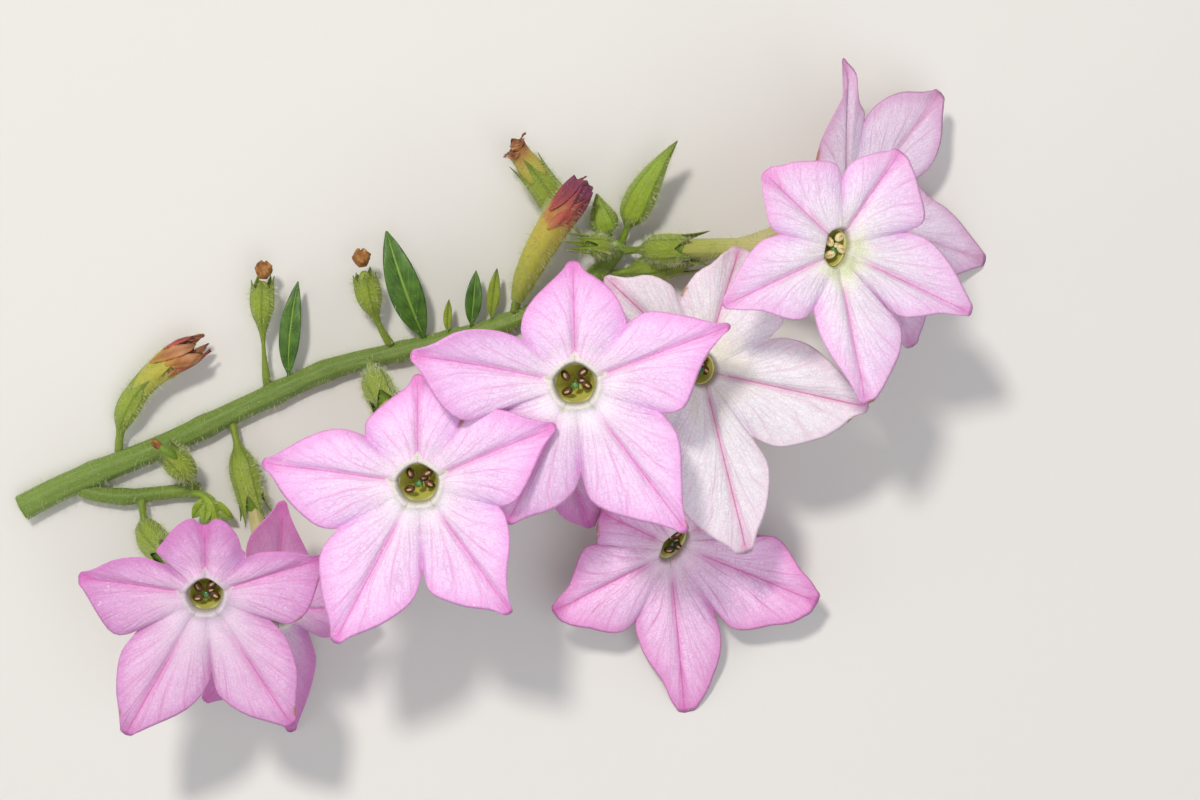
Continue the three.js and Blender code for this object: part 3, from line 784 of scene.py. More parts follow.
def seat(stem, near, direction, footRadius):
    # just off the stem's skin beside [x, y], on the side that the piece leaves
    tries = 400
    p, t, _, _ = at(stem["line"], np.linspace(0, stem["line"]["length"], tries + 1))
    best = np.argmin(np.hypot(p[:, 0] - near[0], p[:, 1] - near[1]))
    p, t = p[best], t[best]
    side = unit(direction - t * direction.dot(t))
    slant = math.sqrt(1 - min(1, side.dot(direction) ** 2))
    return p + side * (stem["radius"](best / tries) + seatGap + footRadius * slant)


mainRun = [[-105, -19.6], [-99.9, -16.9], [-93.5, -14], [-79.9, -8.5], [-63.6, -0.9], [-48.9, 5.6]]
mainRun += [[-34.7, 9.2], [-18.2, 13.6], [-4.5, 20], [1.6, 25.1], [3.8, 28.6]]
mainStem = stemOf(mainRun, lambda f: 2.35 - 0.95 * f, lambda f: 1.6 * f**6)
forkFoot = seat(mainStem, [-92.4, -13.6], np.array([0.72, -0.7, 0]), 2.6)
sideRun = [[forkFoot[0], forkFoot[1]], [-86.4, -17.6], [-82, -17.2], [-77, -16.6], [-72.6, -16.2]]
sideStem = stemOf(sideRun, lambda f: 1.35 - 0.25 * f, lambda f: 0.5)


def buildStem(name, stem, solid, joints, values):
    # a ribbed stem; "hair" says how downy it is, and "joints" are shares of its length
    line = stem["line"]
    length = line["length"]
    rings = int(length / values["step"])
    columns = values["columns"]
    f = np.concatenate([[0, 0], np.linspace(0, 1, rings), [1, 1]])
    d = (f * length)[:, None] * np.ones(columns)
    angle = turns(columns)[None, :] * np.ones((len(f), 1))
    plain = np.array([stem["radius"](share) for share in f])[:, None]
    radius = plain * np.ones(columns)
    ribs = values["ribs"]
    twist = d * values["twist"]
    radius = radius * (1 + values["ribDepth"] * np.cos(ribs * (angle + twist)))
    radius += wander(angle + d * 0.05, values["seed"], (2, 3, 5), 0.05)
    for share in joints:  # each leaf or branch leaves a slight swelling where it joins
        radius += 0.22 * bell(d - share * length, 1.8)
    radius = np.minimum(radius, plain + 0.3)
    rim = np.ones((len(f), 1))  # the cut ends' edges are slightly rounded
    rim[0] = rim[-1] = 0.55
    rim[1] = rim[-2] = 0.94
    rows = sleeve(line, d, radius * rim, angle)
    across = np.abs(np.mod((angle + twist) * ribs / math.pi + 1, 2) - 1)
    shape = shell(rows, [stemSkin], run=d / length, across=across, downy=values["hair"])
    return finishPiece(name, [shape], solid)


hairy = []
mainValues = {
    "step": 0.7,
    "columns": 60,
    "ribs": 7,
    "ribDepth": 0.035,
    "twist": 0.006,
    "seed": 3,
    "hair": 0.32,
}
sideValues = {
    "step": 0.6,
    "columns": 40,
    "ribs": 5,
    "ribDepth": 0.04,
    "twist": 0.01,
    "seed": 4,
    "hair": 0.5,
}
joints = [0.12, 0.3, 0.42, 0.5, 0.62, 0.7, 0.78, 0.86, 0.94]
hairy.append(buildStem("stem_main_green", mainStem, "main_stem", joints, mainValues))
# the side stem's line goes on back into the main stem, which it leaves at a narrow angle
sideShape = stemOf([[-95.2, -15.2], [-93, -16.6], *sideRun[1:]], lambda f: 1.5 - 0.4 * f, lambda f: 0.5)
hairy.append(buildStem("stem_side_green", sideShape, "side_stem", [0.4, 0.9], sideValues))
print("stems built")

# Blooms


lobeShape = [  # along the lobe from its notch to its tip: step, share of the way, share of the half width
    (0, 0, 1),
    (0.125, 0.11, 1.06),
    (0.25, 0.24, 1.09),
    (0.375, 0.38, 1.02),
    (0.5, 0.53, 0.86),
    (0.625, 0.68, 0.64),
    (0.75, 0.81, 0.42),
    (0.875, 0.92, 0.24),
    (0.95, 0.98, 0.15),
    (1, 1, 0),
]


def lobeEdge(tip, beside, f, form):
    # one edge of a lobe in the bloom's own face, from the notch (f = 0) to the tip (f = 1)
    turn = math.radians(beside[0] - tip[0])
    sx = beside[1] * math.cos(turn)
    sy = beside[1] * math.sin(turn)
    way = profile([(step, share) for step, share, _ in lobeShape], f)
    wide = profile([(step, share) for step, _, share in lobeShape], f)
    x = blend(sx, tip[1], way)
    bulge, slim = form["flank"]
    y = sy * wide * blend(1, bulge, smooth(way, 0, 0.3)) * blend(1, slim, smooth(way, 0.2, 0.75))
    y = y * blend(1, form["snout"], smooth(way, 0.6, 0.95)) + form["sway"] * bell(way - 0.74, 0.22)
    a = math.radians(tip[0])
    return {
        "x": x * math.cos(a) - y * math.sin(a),
        "y": x * math.sin(a) + y * math.cos(a),
        "throat": np.radians(blend(beside[0], tip[0], f)),
        "across": 1 - f,
        "lift": blend(beside[2], tip[2], 1 - (1 - f) ** 2),
    }


def lobeColumns(bloom, half):
    # clockwise round the bloom, half columns to each edge of a lobe, closest at its midvein and notches
    lobes = bloom["lobes"]
    notches = []
    for k, tip in enumerate(lobes):
        after = lobes[(k + 1) % len(lobes)]
        nextAngle = after[0] if after[0] < tip[0] else after[0] - 360
        place = tip[3] if len(tip) > 3 else ((tip[0] + nextAngle) / 2, 0.26 * (tip[1] + after[1]))
        notches.append((place[0], place[1], (tip[2] + after[2]) / 2))
    rise = np.arange(half) / half
    rise = rise - 0.6 * np.sin(2 * math.pi * rise) / (2 * math.pi)
    fall = np.arange(half, 0, -1) / half
    fall = fall - 0.6 * np.sin(2 * math.pi * fall) / (2 * math.pi)
    edges = []
    for k, tip in enumerate(lobes):
        before = notches[k - 1]
        if k == 0:
            before = (before[0] + 360, *before[1:])
        flanks = bloom.get("flanks", {}).get(k, (1, 1, 1, 1))
        snout = bloom.get("snouts", {}).get(k, bloom["snout"])
        form = {"snout": snout, "sway": bloom.get("sways", {}).get(k, 0.0)}
        edges.append(lobeEdge(tip, before, rise, {**form, "flank": flanks[:2]}))
        edges.append(lobeEdge(tip, notches[k], fall, {**form, "flank": flanks[2:]}))
    return {key: np.concatenate([edge[key] for edge in edges]) for key in edges[0]}


def bloomLine(bloom):
    lean, compass = (math.radians(a) for a in bloom["facing"])
    w = Vector((math.sin(lean) * math.cos(compass), math.sin(lean) * math.sin(compass), math.cos(lean)))
    spin = Vector((0, 0, 1)).rotation_difference(w)
    u, v = (np.array(spin @ Vector(axis)) for axis in ((1, 0, 0), (0, 1, 0)))
    w = np.array(w)
    throat = np.array(bloom["throat"], float)
    out = unit(np.array(bloom["leaves"], float))
    foot = seat(bloom.get("carrier", mainStem), bloom["near"], out, 0.75)
    behind = throat - w * bloom["pull"][0]
    beyond = foot + out * bloom["pull"][1]
    line = lineThrough(bezier([throat, behind, beyond, foot]), u)
    return {"line": line, "throat": throat, "u": u, "v": v, "w": w}


corollaShape = {
    "halfColumns": 18,
    "petalThickness": 0.34,
    "rimThickness": 0.16,
    "funnel": 1.5,  # how far the mouth lies under the limb
    "ringCrest": 0.85,  # from the mouth to the top of its ring
    "puff": 0.95,
    "ruffle": 0.32,
    "tipCurl": 0.45,
}


def buildCorolla(name, bloom, pose):
    size = corollaShape
    half = size["halfColumns"]
    c = lobeColumns(bloom, half)
    total = len(c["x"])
    turn = turns(total)
    rx, ry = bloom["mouth"]
    corners = 1 + 0.028 * np.cos(math.pi * c["across"])  # the mouth is a rounded pentagon
    mouthTurn = math.radians(bloom.get("mouthTurn", 0))
    cosine = math.cos(mouthTurn)
    sine = math.sin(mouthTurn)

    def oval(x, y):
        x = x * np.cos(c["throat"] - mouthTurn)
        y = y * np.sin(c["throat"] - mouthTurn)
        return x * cosine - y * sine, x * sine + y * cosine

    mouthX, mouthY = oval(rx * corners, ry * corners)
    reach = np.hypot(c["x"], c["y"])
    wobble = wander(turn, bloom["seed"], (11, 17, 26, 41), 0.32 * bloom.get("frill", 1.0))
    column = np.arange(total)
    lobe = column // (2 * half)
    cleft = np.zeros(total)
    for number, depth in bloom.get("clefts", {}).items():
        dent = depth * bell(c["across"], 0.12) - 0.3 * depth * bell(c["across"] - 0.34, 0.2)
        cleft += (lobe == number) * dent
    stretch = 1 + (wobble * smooth(c["across"], 0, 0.25) - cleft) / reach
    edgeX = c["x"] * stretch
    edgeY = c["y"] * stretch
    length = np.hypot(edgeX - mouthX, edgeY - mouthY)
    middle = lobe * 2 * half + half
    sinus = (lobe + (column % (2 * half) >= half)) * 2 * half % total
    tangentX = np.gradient(np.concatenate([edgeX[-2:], edgeX, edgeX[:2]]))[2:-2]
    tangentY = np.gradient(np.concatenate([edgeY[-2:], edgeY, edgeY[:2]]))[2:-2]
    slant = np.abs((edgeX - mouthX) * tangentY - (edgeY - mouthY) * tangentX)
    slant = slant / (length * np.hypot(tangentX, tangentY) + 1e-6)
    ruffle = wander(turn, bloom["seed"] + 50, (8, 13, 19, 29), size["ruffle"] * bloom.get("frill", 1.0))
    sway = wander(turn, bloom["seed"] + 90, (3, 5, 7), 0.5)
    ringHeight = bloom.get("ring", 1.0)

    def limb(s):
        s = np.asarray(s, float)[:, None]
        x = blend(mouthX, edgeX, s)
        y = blend(mouthY, edgeY, s)
        fromMouth = s * length
        offMid = np.hypot(x - x[:, middle], y - y[:, middle])
        offSinus = np.hypot(x - x[:, sinus], y - y[:, sinus])
        across = c["across"]
        # the funnel of the mouth, its ring and the low ground round it
        z = -size["funnel"] * (1 - smooth(fromMouth, 0, 0.55))
        z = z - (1 - ringHeight) * np.clip(1 - s / 0.3, 0, 1) ** 2
        crest = 0.32 * bell(fromMouth - size["ringCrest"], 0.5)
        z = z + ringHeight * (crest - 0.3 * bell(fromMouth - 2.7, 1.3))
        # puffed halves of each lobe, and the groove and the soft fold along its midvein
        z = z + size["puff"] * 3.1 * across**0.85 * (1 - across) ** 1.5 * s * (1 - 0.2 * s**3)
        inner = np.sin(math.pi * np.minimum(1, s + 0.15)) ** 0.8
        z = z - (0.42 * bell(offMid, 0.55) + 0.35 * bell(offMid, 1.9)) * inner * bloom.get("crease", 1.0)
        # valleys between the lobes, the lobes' own lift, and the ruffled edge with its curled tips
        z = z - 0.9 * smooth(across, 0.35, 1) * s - 0.4 * bell(offSinus, 1.8) * smooth(s, 0.45, 0.95)
        z = z + c["lift"] * s * s
        z = z + ruffle * s**4 + sway * s**2 * smooth(across, 0, 0.4)
        z = z - size["tipCurl"] * smooth(s, 0.8, 1.0) * bell(offMid, 2.2)
        run = s + 0 * x
        # painted light: the pale zone is the bloom's own, and the side it spreads to is painted paler, as if
        # lit
        if "paleLitSide" in bloom:  # the pale zone round the throat spreads to one side only
            away = 0.5 - 0.5 * np.cos(c["throat"] - math.radians(bloom["paleLitSide"]))
            run = np.maximum(run * blend(bloom.get("fade", 1.0), 1, away), 0.25 * away**0.6)
        grid = {"x": x, "y": y, "z": z, "run": run, "rim": (1 - s) * length * slant}
        return {**grid, "offMid": offMid, "offSinus": offSinus, "fromMouth": fromMouth}

    def inSpace(grid, drop):
        z = grid["z"] - drop
        u, v, w = pose["u"], pose["v"], pose["w"]
        return pose["throat"] + grid["x"][..., None] * u + grid["y"][..., None] * v + z[..., None] * w

    def tubeRows(d, rxs, rys):
        p, _, u, v = at(pose["line"], np.asarray(d, float)[:, None] * np.ones(total))
        x, y = oval(np.asarray(rxs)[:, None], np.asarray(rys)[:, None])
        return p + u * x[..., None] - v * y[..., None]

    taper = bloom.get("taper", 1.0)
    neck = bloom.get("neck", 1.5)
    inDepth = np.array([7.0, 6.6, 6.0, 5.4, 4.7, 4.0, 3.3, 2.6, 2.0]) * taper
    narrowing = [(1.5, 1.0), (3.0, 0.94), (4.4, 0.76), (5.6, 0.5), (6.5, 0.25), (7.0, 0.1)]
    inShare = profile(narrowing, inDepth / taper)
    throatRows = tubeRows(inDepth, inShare * rx, inShare * ry)
    faceSteps = np.concatenate([np.linspace(0, 0.12, 11)[:-1], np.linspace(0.12, 1, 27)])
    face = limb(faceSteps)
    faceRows = inSpace(face, 0)
    backSteps = np.concatenate([[0.992, 0.97], np.linspace(0.92, 0.2, 15), [0.16]])
    back = limb(backSteps)
    drop = blend(size["petalThickness"], size["rimThickness"], smooth(backSteps, 0.8, 1))
    drop = drop + 0.9 * (1 - smooth(backSteps, 0.12, 0.34))
    backRows = inSpace(back, drop[:, None])
    end = pose["line"]["length"] - bloom["stalk"] - 3
    down = np.concatenate([[3.0 * taper], np.arange(3.8 * taper, end - 1, 0.9), [end - 0.6, end]])
    share = smooth(down, 4 * taper, 20 * taper)
    outX = np.maximum(neck, blend(rx + 0.9, neck, share))
    outY = np.maximum(neck, blend(ry + 0.9, neck, share))
    closing = np.where(down > end - 0.7, np.where(down >= end, 0.5, 0.7), 1.0)
    tube = tubeRows(down, outX * closing, outY * closing)
    ridge = 1 + 0.03 * np.cos(math.pi * c["across"]) + 0.012 * np.cos(3 * math.pi * c["across"])
    centre = tube.mean(axis=1, keepdims=True)
    tube = centre + (tube - centre) * ridge[None, :, None]
    rows = np.concatenate([throatRows, faceRows, backRows, tube])
    counts = (len(throatRows), len(faceRows), len(backRows), len(tube))
    bands = [1] * counts[0] + [0] * (counts[1] + counts[2] - 1) + [2] * counts[3]
    blank = np.zeros((counts[0], total))
    blankTube = np.zeros((counts[3], total))
    values = {"across": np.ones((len(rows), 1)) * c["across"]}
    for key in ("run", "offMid", "offSinus", "rim"):
        values[key] = np.concatenate([blank, face[key], back[key], blankTube])
    inside = -inDepth[:, None] + blank
    below = -down[:, None] + blankTube
    values["fromMouth"] = np.concatenate([inside, face["fromMouth"], back["fromMouth"], below])
    values["back"] = np.concatenate([blank, 0 * face["x"], 1 + 0 * back["x"], 1 + blankTube])
    values["downy"] = np.concatenate([blank, 0 * face["x"], 0 * back["x"], 0.3 + blankTube])
    shape = shell(rows, [petalTones[bloom["tone"]], throatLining, tubeSkin], bands, **values)
    return finishPiece("petals_" + name, [shape], "bloom_" + name)


def buildStamens(name, bloom, pose):
    # anthers stand round the stigma just under the mouth, on fine filaments from the tube's wall
    u, v, w = pose["u"], pose["v"], pose["w"]
    chance = np.random.RandomState(bloom["seed"] + 7)
    rx, ry = bloom["mouth"]
    skin = paleAntherSkin if bloom.get("ripe") else antherSkin
    shapes = []
    # where each is, and how far out
    standing = [(140, 0.64), (51, 0.68), (221, 0.6), (-15, 0.57), (27, 0.32)]
    for k, (degrees, spread) in enumerate(standing):
        a = math.radians(degrees + chance.uniform(-8, 8))
        x = rx * spread * math.cos(a)
        y = ry * spread * math.sin(a)
        depth = 2.2 + chance.uniform(-0.3, 0.4) + (0.5 if k == 4 else 0) + bloom.get("deep", 0)
        centre = pose["throat"] + u * x + v * y - w * depth
        lean = unit(w + 0.35 * (u * math.cos(a) + v * math.sin(a)))
        long = unit(np.cross(lean, u * math.cos(a + 1.2) + v * math.sin(a + 1.2)))
        wide = np.cross(lean, long)
        axes = [long, wide, lean]
        small = 0.8 if k == 4 else 1.0
        shapes.append(ball(centre, axes, [1.05 * small, 0.72 * small, 0.45], skin))
        shapes.append(ball(centre + lean * 0.2, axes, [0.6 * small, 0.27 * small, 0.36], pollenSkin))
        wall = pose["throat"] + u * x * 0.6 + v * y * 0.6 - w * 5.6
        filament = lineThrough(bezier([wall, centre - w * 2.0, centre], 20), u)
        shapes.append(rod(filament, 0.13, filamentSkin))
    stigma = pose["throat"] + v * -0.35 - w * 2.6
    shapes.append(ball(stigma, [u, v, w], [0.66, 0.6, 0.4], stigmaSkin, 10, 14))
    style = lineThrough(bezier([pose["throat"] - w * 6.4, stigma - w * 2, stigma], 20), u)
    shapes.append(rod(style, 0.17, filamentSkin))
    return finishPiece("stamens_" + name, shapes, None)


footReach = 0.9  # what a stem carries reaches into its skin
calyxShape = {
    "columns": 20,  # to each tooth
    "cup": 9.6,  # from the stalk to the notches
    "teeth": 15.5,  # from the stalk to the longest tip
    "wall": 0.3,
    "rib": 0.17,
    "groove": 0.1,
}


def calyxShell(line, stalk, cup, seed, teeth=calyxShape["teeth"], flare=0.9, swell=1.0):
    # a stalk and a ribbed cup with long narrow teeth, d up from the foot
    size = calyxShape
    per = size["columns"]
    total = 5 * per
    phase = (np.arange(total) % per) / per * 2 - 1
    tooth = np.arange(total) // per
    angle = (np.arange(total) - per / 2) * 2 * math.pi / total
    chance = np.random.RandomState(seed)
    longer = chance.uniform(0.86, 1.0, 5)[tooth]
    bend = chance.uniform(0.2, 1.0, 5)[tooth] * flare
    swing = chance.uniform(-0.14, 0.14, 5)[tooth]
    notch = stalk + size["cup"] * cup
    tip = stalk + teeth * cup * longer
    top = notch + (tip - notch) * (1 - np.abs(phase)) ** 1.8
    full = cup * swell
    stations = [(0, 0.75), (max(0.5, stalk - 0.6), 0.85), (stalk + 1.2, 1.95 * full)]
    stations += [(stalk + 4.4, 2.72 * full), (stalk + 8.2 * cup, 2.6 * full), (stalk + 16 * cup, 2.75 * cup)]
    lower = np.linspace(-footReach, stalk + 0.4, 7)[:, None] * np.ones(total)
    upper = stalk + 0.4 + np.linspace(0, 1, 26)[1:, None] * (top - stalk - 0.4)
    d = np.concatenate([lower, upper])
    inside = smooth(d, stalk, stalk + 2.5)

    def walled(depth, inset):
        over = np.clip((depth - notch) / (tip - notch), 0, 1.2)
        radius = profile(stations, depth) + bend * over**2
        relief = size["rib"] * bell(phase, 0.16) + size["groove"] * bell(np.abs(phase) - 1, 0.16)
        radius = radius + relief * smooth(depth, stalk, stalk + 2.5) * (1 - 0.6 * over) - inset
        return sleeve(line, depth, radius, angle + swing * over**2)

    outer = walled(d, 0)
    edge = 0.985 * (top - stalk) + stalk
    innerSteps = np.linspace(0, 1, 9)[:, None]
    innerDepth = blend(edge, stalk + 5.0 * cup + 0 * edge, innerSteps)
    inner = walled(innerDepth, size["wall"] * np.minimum(1, 0.5 + innerSteps))
    floorDepth = np.array([3.6, 2.6])[:, None] * cup + stalk + 0 * top
    floor = sleeve(line, floorDepth, np.array([1.7, 0.9])[:, None] * cup + 0 * top, angle + 0 * floorDepth)
    rows = np.concatenate([outer, inner, floor])
    allDepth = np.concatenate([d, innerDepth, floorDepth])
    run = np.clip((allDepth - stalk) / (tip - stalk), 0, 1)
    isBack = np.concatenate([0 * d, 1 + 0 * innerDepth, 1 + 0 * floorDepth])
    downy = np.concatenate([0.35 + 0.65 * inside, 0 * innerDepth, 0 * floorDepth])
    return shell(rows, [calyxSkin], run=run, across=np.abs(phase), back=isBack, downy=downy)


def domeShape(line, low, high, r, material):
    # the seed case inside its calyx
    f, angle = shares(20, 40)
    radius = r * np.sqrt(np.clip(1 - (1.1 * f - 0.28) ** 2 * 1.4, 0.01, 1))
    radius = radius * (1 - 0.05 * bell(np.mod(angle, math.pi) - math.pi / 2, 0.12))
    return shell(sleeve(line, blend(low, high, f), radius, angle), [material])


# throat and mouth are the middle and the half widths of a bloom's mouth, and facing is its lean and compass
# angle. Its stalk leaves the stem beside near, the way that leaves says. pull is how far its line holds to
# facing behind the throat, and to leaves above the stem.
# A bloom's lobes go clockwise: (compass angle in its own face, reach, lift of the tip, notch after it).
# flanks says how a lobe's two sides differ from lobeShape: bulge and slimness before its tip and after it.
# snout widens the lobes near their tips, clefts notch them and sways bend them aside.
# Each bloom may give the side that the pale zone round the throat spreads to, painted paler there as if lit,
# and fade says how far.
blooms = {
    "centre": {
        "throat": [-4.1, 2.5, 48.7],
        "facing": [8, -95],
        "mouth": [3.3, 3.2],
        "stalk": 4,
        "near": [-9.6, 15.2],
        "leaves": [0.05, -0.3, 0.95],
        "pull": [17, 12],
        "lobes": [
            (91, 20.5, -1, (50, 13)),
            (21, 27.5, 0, (-19, 15)),
            (-53, 31, 0, (-87, 15.5)),
            (-115.5, 27.2, -5.5, (-160, 15)),
            (-192, 27.5, 5, (-222, 11.5)),
        ],
        "flanks": {
            0: (0.92, 1.0, 0.86, 1.0),
            1: (1.05, 0.83, 0.96, 0.5),
            2: (0.93, 0.68, 1.05, 0.85),
            3: (0.95, 1.0, 1.0, 1.0),
            4: (1.1, 1.0, 1.04, 1.2),
        },
        "tone": "pink",
        "paleLitSide": -90,
        "fade": 0.72,
        "snout": 0.75,
        "seed": 11,
    },
    "middle": {
        "throat": [-30.4, -14.1, 44.9],
        "facing": [10, -100],
        "mouth": [3.2, 3.1],
        "stalk": 4,
        "near": [-41.2, 5.9],
        "leaves": [0.1, -0.45, 0.9],
        "pull": [18, 14],
        "lobes": [
            (90, 18.2, -3, (55, 13)),
            (24, 25.5, 2, (-16, 14)),
            (-55, 27, 0, (-88, 15)),
            (-118, 31, 0, (-150, 15.6)),
            (-188, 26.3, 0, (-221, 11.8)),
        ],
        "flanks": {
            0: (0.88, 0.7, 0.85, 1.1),
            1: (1.03, 0.95, 0.9, 0.68),
            2: (0.85, 0.6, 1.03, 0.9),
            3: (1.03, 1.02, 1.02, 0.9),
            4: (0.9, 0.9, 1.06, 1.0),
        },
        "tone": "pink",
        "paleLitSide": -90,
        "fade": 0.85,
        "snout": 0.75,
        "seed": 12,
    },
    "left": {
        "throat": [-66.8, -33.3, 38],
        "facing": [14, -80],
        "mouth": [2.75, 2.65],
        "stalk": 4,
        "neck": 1.4,
        "carrier": sideStem,
        "near": [-83.4, -17],
        "leaves": [0.1, -0.85, 0.45],
        "pull": [18, 13],
        "lobes": [
            (89, 14.6, -1, (43, 9)),
            (18.5, 21.3, 0, (-24, 12)),
            (-59, 27.7, -1, (-88, 14.4)),
            (-120, 29, -1, (-151, 13.5)),
            (-190, 21.5, 0, (-220, 8)),
        ],
        "flanks": {
            0: (1.22, 0.98, 0.86, 1.12),
            1: (1.05, 1.0, 1.05, 1.15),
            2: (1.0, 1.05, 1.03, 1.0),
            3: (0.96, 0.9, 1.0, 1.0),
            4: (1.0, 1.0, 1.15, 1.25),
        },
        "clefts": {0: 2.3},
        "tone": "mauve",
        "paleLitSide": -90,
        "fade": 0.36,
        "snout": 0.9,
        "seed": 13,
    },
    "left_under": {
        "throat": [-57.6, -37.7, 12.2],
        "facing": [22, -80],
        "mouth": [2.6, 2.5],
        "stalk": 4,
        "neck": 1.3,
        "cup": 0.95,
        "near": [-67.4, -3],
        "leaves": [0.22, -0.95, 0.12],
        "pull": [8, 12],
        "lobes": [(85, 22, 1), (0, 16, 0, (-44, 7.5)), (-86, 26, -2.5), (-127, 22.5, 0), (-208, 10.5, 0)],
        "flanks": {0: (1.2, 1.2, 0.72, 0.72), 2: (1.08, 1.0, 1.0, 1.0)},
        "tone": "shadedPink",
        "snout": 0.9,
        "seed": 14,
    },
    "low": {
        "throat": [13.3, -26.3, 14.4],
        "facing": [20, -75],
        "mouth": [1.5, 3.25],
        "mouthTurn": -35,
        "stalk": 3,
        "near": [-5.6, 18.6],
        "leaves": [0.3, -0.95, 0.07],
        "pull": [11, 18],
        "lobes": [
            (152, 15, 0, (126, 11)),
            (36, 15, 0, (8, 14)),
            (-23, 28.5, 0, (-60, 15.6)),
            (-85, 34, -3, (-113.5, 16.4)),
            (-151.5, 24.7, 0, (-184, 13)),
        ],
        "flanks": {
            2: (1.12, 0.8, 1.05, 1.0),
            3: (1.03, 1.15, 0.85, 0.74),
            4: (0.92, 0.9, 1.05, 0.56),
        },
        "ring": 0.45,
        "tone": "rose",
        "snout": 1.4,
        "seed": 15,
    },
    "pale": {
        "throat": [17.7, 4.9, 35],
        "facing": [16, -40],
        "mouth": [2.3, 2.6],
        "deep": 1.6,
        "stalk": 3,
        "near": [-2.2, 21.4],
        "leaves": [0.45, -0.5, 0.75],
        "pull": [15, 10],
        "lobes": [
            (137, 24, 0, (109, 13)),
            (75, 22, 0, (24, 13)),
            (-13, 30.5, 0, (-52, 15)),
            (-75, 33.5, 0),
            (-160, 19, 0),
        ],
        "flanks": {
            0: (1.0, 1.0, 1.02, 1.05),
            1: (0.85, 0.95, 1.0, 1.0),
            3: (1.15, 1.03, 1.0, 1.35),
        },
        "snouts": {1: 1.3, 3: 0.9},
        "frill": 2.2,
        "ring": 0.4,
        "tone": "blush",
        "paleLitSide": 100,
        "fade": 0.6,
        "snout": 0.7,
        "seed": 16,
    },
    "right": {
        "throat": [40, 25.3, 45],
        "facing": [18, -15],
        "mouth": [1.9, 3.1],
        "mouthTurn": -12,
        "stalk": 4,
        "near": [3.6, 28.2],
        "leaves": [0.78, 0, 0.62],
        "pull": [12, 15],
        "lobes": [
            (138, 18.5, 0, (87, 11.5)),
            (57, 19.5, 0, (12, 13)),
            (-24, 27.5, -1.5, (-48, 13)),
            (-78, 27, -1, (-110, 11)),
            (-155, 22.6, 0, (-192, 10.5)),
        ],
        "flanks": {
            1: (1.0, 1.0, 1.05, 1.0),
            2: (0.95, 0.95, 1.0, 0.6),
            3: (1.27, 1.15, 0.92, 0.85),
            4: (0.93, 0.65, 1.0, 1.0),
        },
        "ring": 0.25,
        "paleLitSide": -60,
        "neck": 1.75,
        "ripe": True,
        "fade": 0.8,
        "tone": "softPink",
        "snout": 1.1,
        "seed": 17,
    },
    "right_under": {
        "throat": [44.1, 32.6, 17.5],
        "facing": [28, 0],
        "mouth": [2.6, 2.6],
        "stalk": 3,
        "neck": 1.3,
        "cup": 0.95,
        "near": [1.4, 24.6],
        "leaves": [0.98, 0.14, 0.1],
        "pull": [11, 17],
        "lobes": [
            (96, 27.5, 2, (80, 17.2)),
            (50, 29.5, 1, (24, 15.3)),
            (-13, 32.5, -3),
            (-61, 26.5, 1),
            (-179, 14.5, -2, (-232, 10.5)),
        ],
        "flanks": {
            0: (0.86, 0.42, 0.62, 0.72),
            1: (0.93, 1.0, 1.0, 1.0),
            2: (0.78, 1.0, 1.0, 1.0),
            3: (1.1, 1.2, 1.0, 1.0),
        },
        "sways": {0: -1.3},
        "crease": 0.3,
        "tone": "paleVeined",
        "snout": 0.9,
        "seed": 18,
    },
    "hidden": {
        "throat": [-7, -9.6, 20],
        "facing": [22, -75],
        "mouth": [2.4, 2.4],
        "stalk": 3,
        "neck": 1.1,
        "cup": 0.86,
        "taper": 0.6,
        "near": [-19.5, 13],
        "leaves": [0.3, -0.75, 0.4],
        "pull": [9, 9],
        "lobes": [(89, 11.5, 0), (10, 15, 0), (-68, 15.5, 0), (-133, 15.5, 0), (-193, 14.5, 0)],
        "tone": "shadedPink",
        "snout": 0.9,
        "seed": 19,
    },
}

for name, bloom in blooms.items():
    pose = bloomLine(bloom)
    hairy.append(buildCorolla(name, bloom, pose))
    buildStamens(name, bloom, pose)
    stalkLine = reversedLine(pose["line"])
    stalk = bloom["stalk"]
    cup = bloom.get("cup", 1.0)
    calyx = calyxShell(stalkLine, stalk, cup, bloom["seed"])
    ovary = domeShape(stalkLine, stalk + 2, stalk + 4 + calyxShape["cup"] * cup, 2.3 * cup, budSkin)
    hairy.append(finishPiece("cup_" + name, [calyx, ovary], "calyx_" + name))
    print("bloom built:", name)

# Buds, spent blooms, capsules, bracts and leaves


def smallLine(piece):
    middle = np.array(piece["by"], float)
    direction = unit(middle - np.array(piece["near"], float))
    if piece.get("ends"):
        p, t, _, _ = at(mainStem["line"], mainStem["line"]["length"])
        foot = p + t * 0.7
    else:
        foot = seat(piece.get("carrier", mainStem), piece["near"], direction, piece.get("foot", 0.7))
    return lineThrough(bezier([foot, middle, piece["tip"]], 60), [0, 0, 1])


def budShape(line, r, seed):
    # a closed bud: five ribs that run up into a fine point
    f, angle = shares(46, 60, -footReach / line["length"])
    stations = [(0, 0.7), (0.12, 0.78), (0.22, 0.84 * r), (0.37, r), (0.58, 0.8 * r)]
    stations += [(0.78, 0.45 * r), (0.92, 0.2 * r), (1, 0.1)]
    radius = profile(stations, f)
    phase = np.abs(np.mod(angle * 5 / math.pi + 0.35 * f, 2) - 1)
    body = smooth(f, 0.16, 0.3)
    radius = radius * (1 + body * (0.09 * bell(phase, 0.25) - 0.1 * bell(phase - 1, 0.14)))
    radius = radius + body * wander(angle, seed, (2, 3, 7), 0.1) * (1 - f)
    rows = sleeve(line, f * line["length"], radius, angle)
    return shell(rows, [budSkin], run=f, across=phase, downy=0.3 + 0.7 * body)


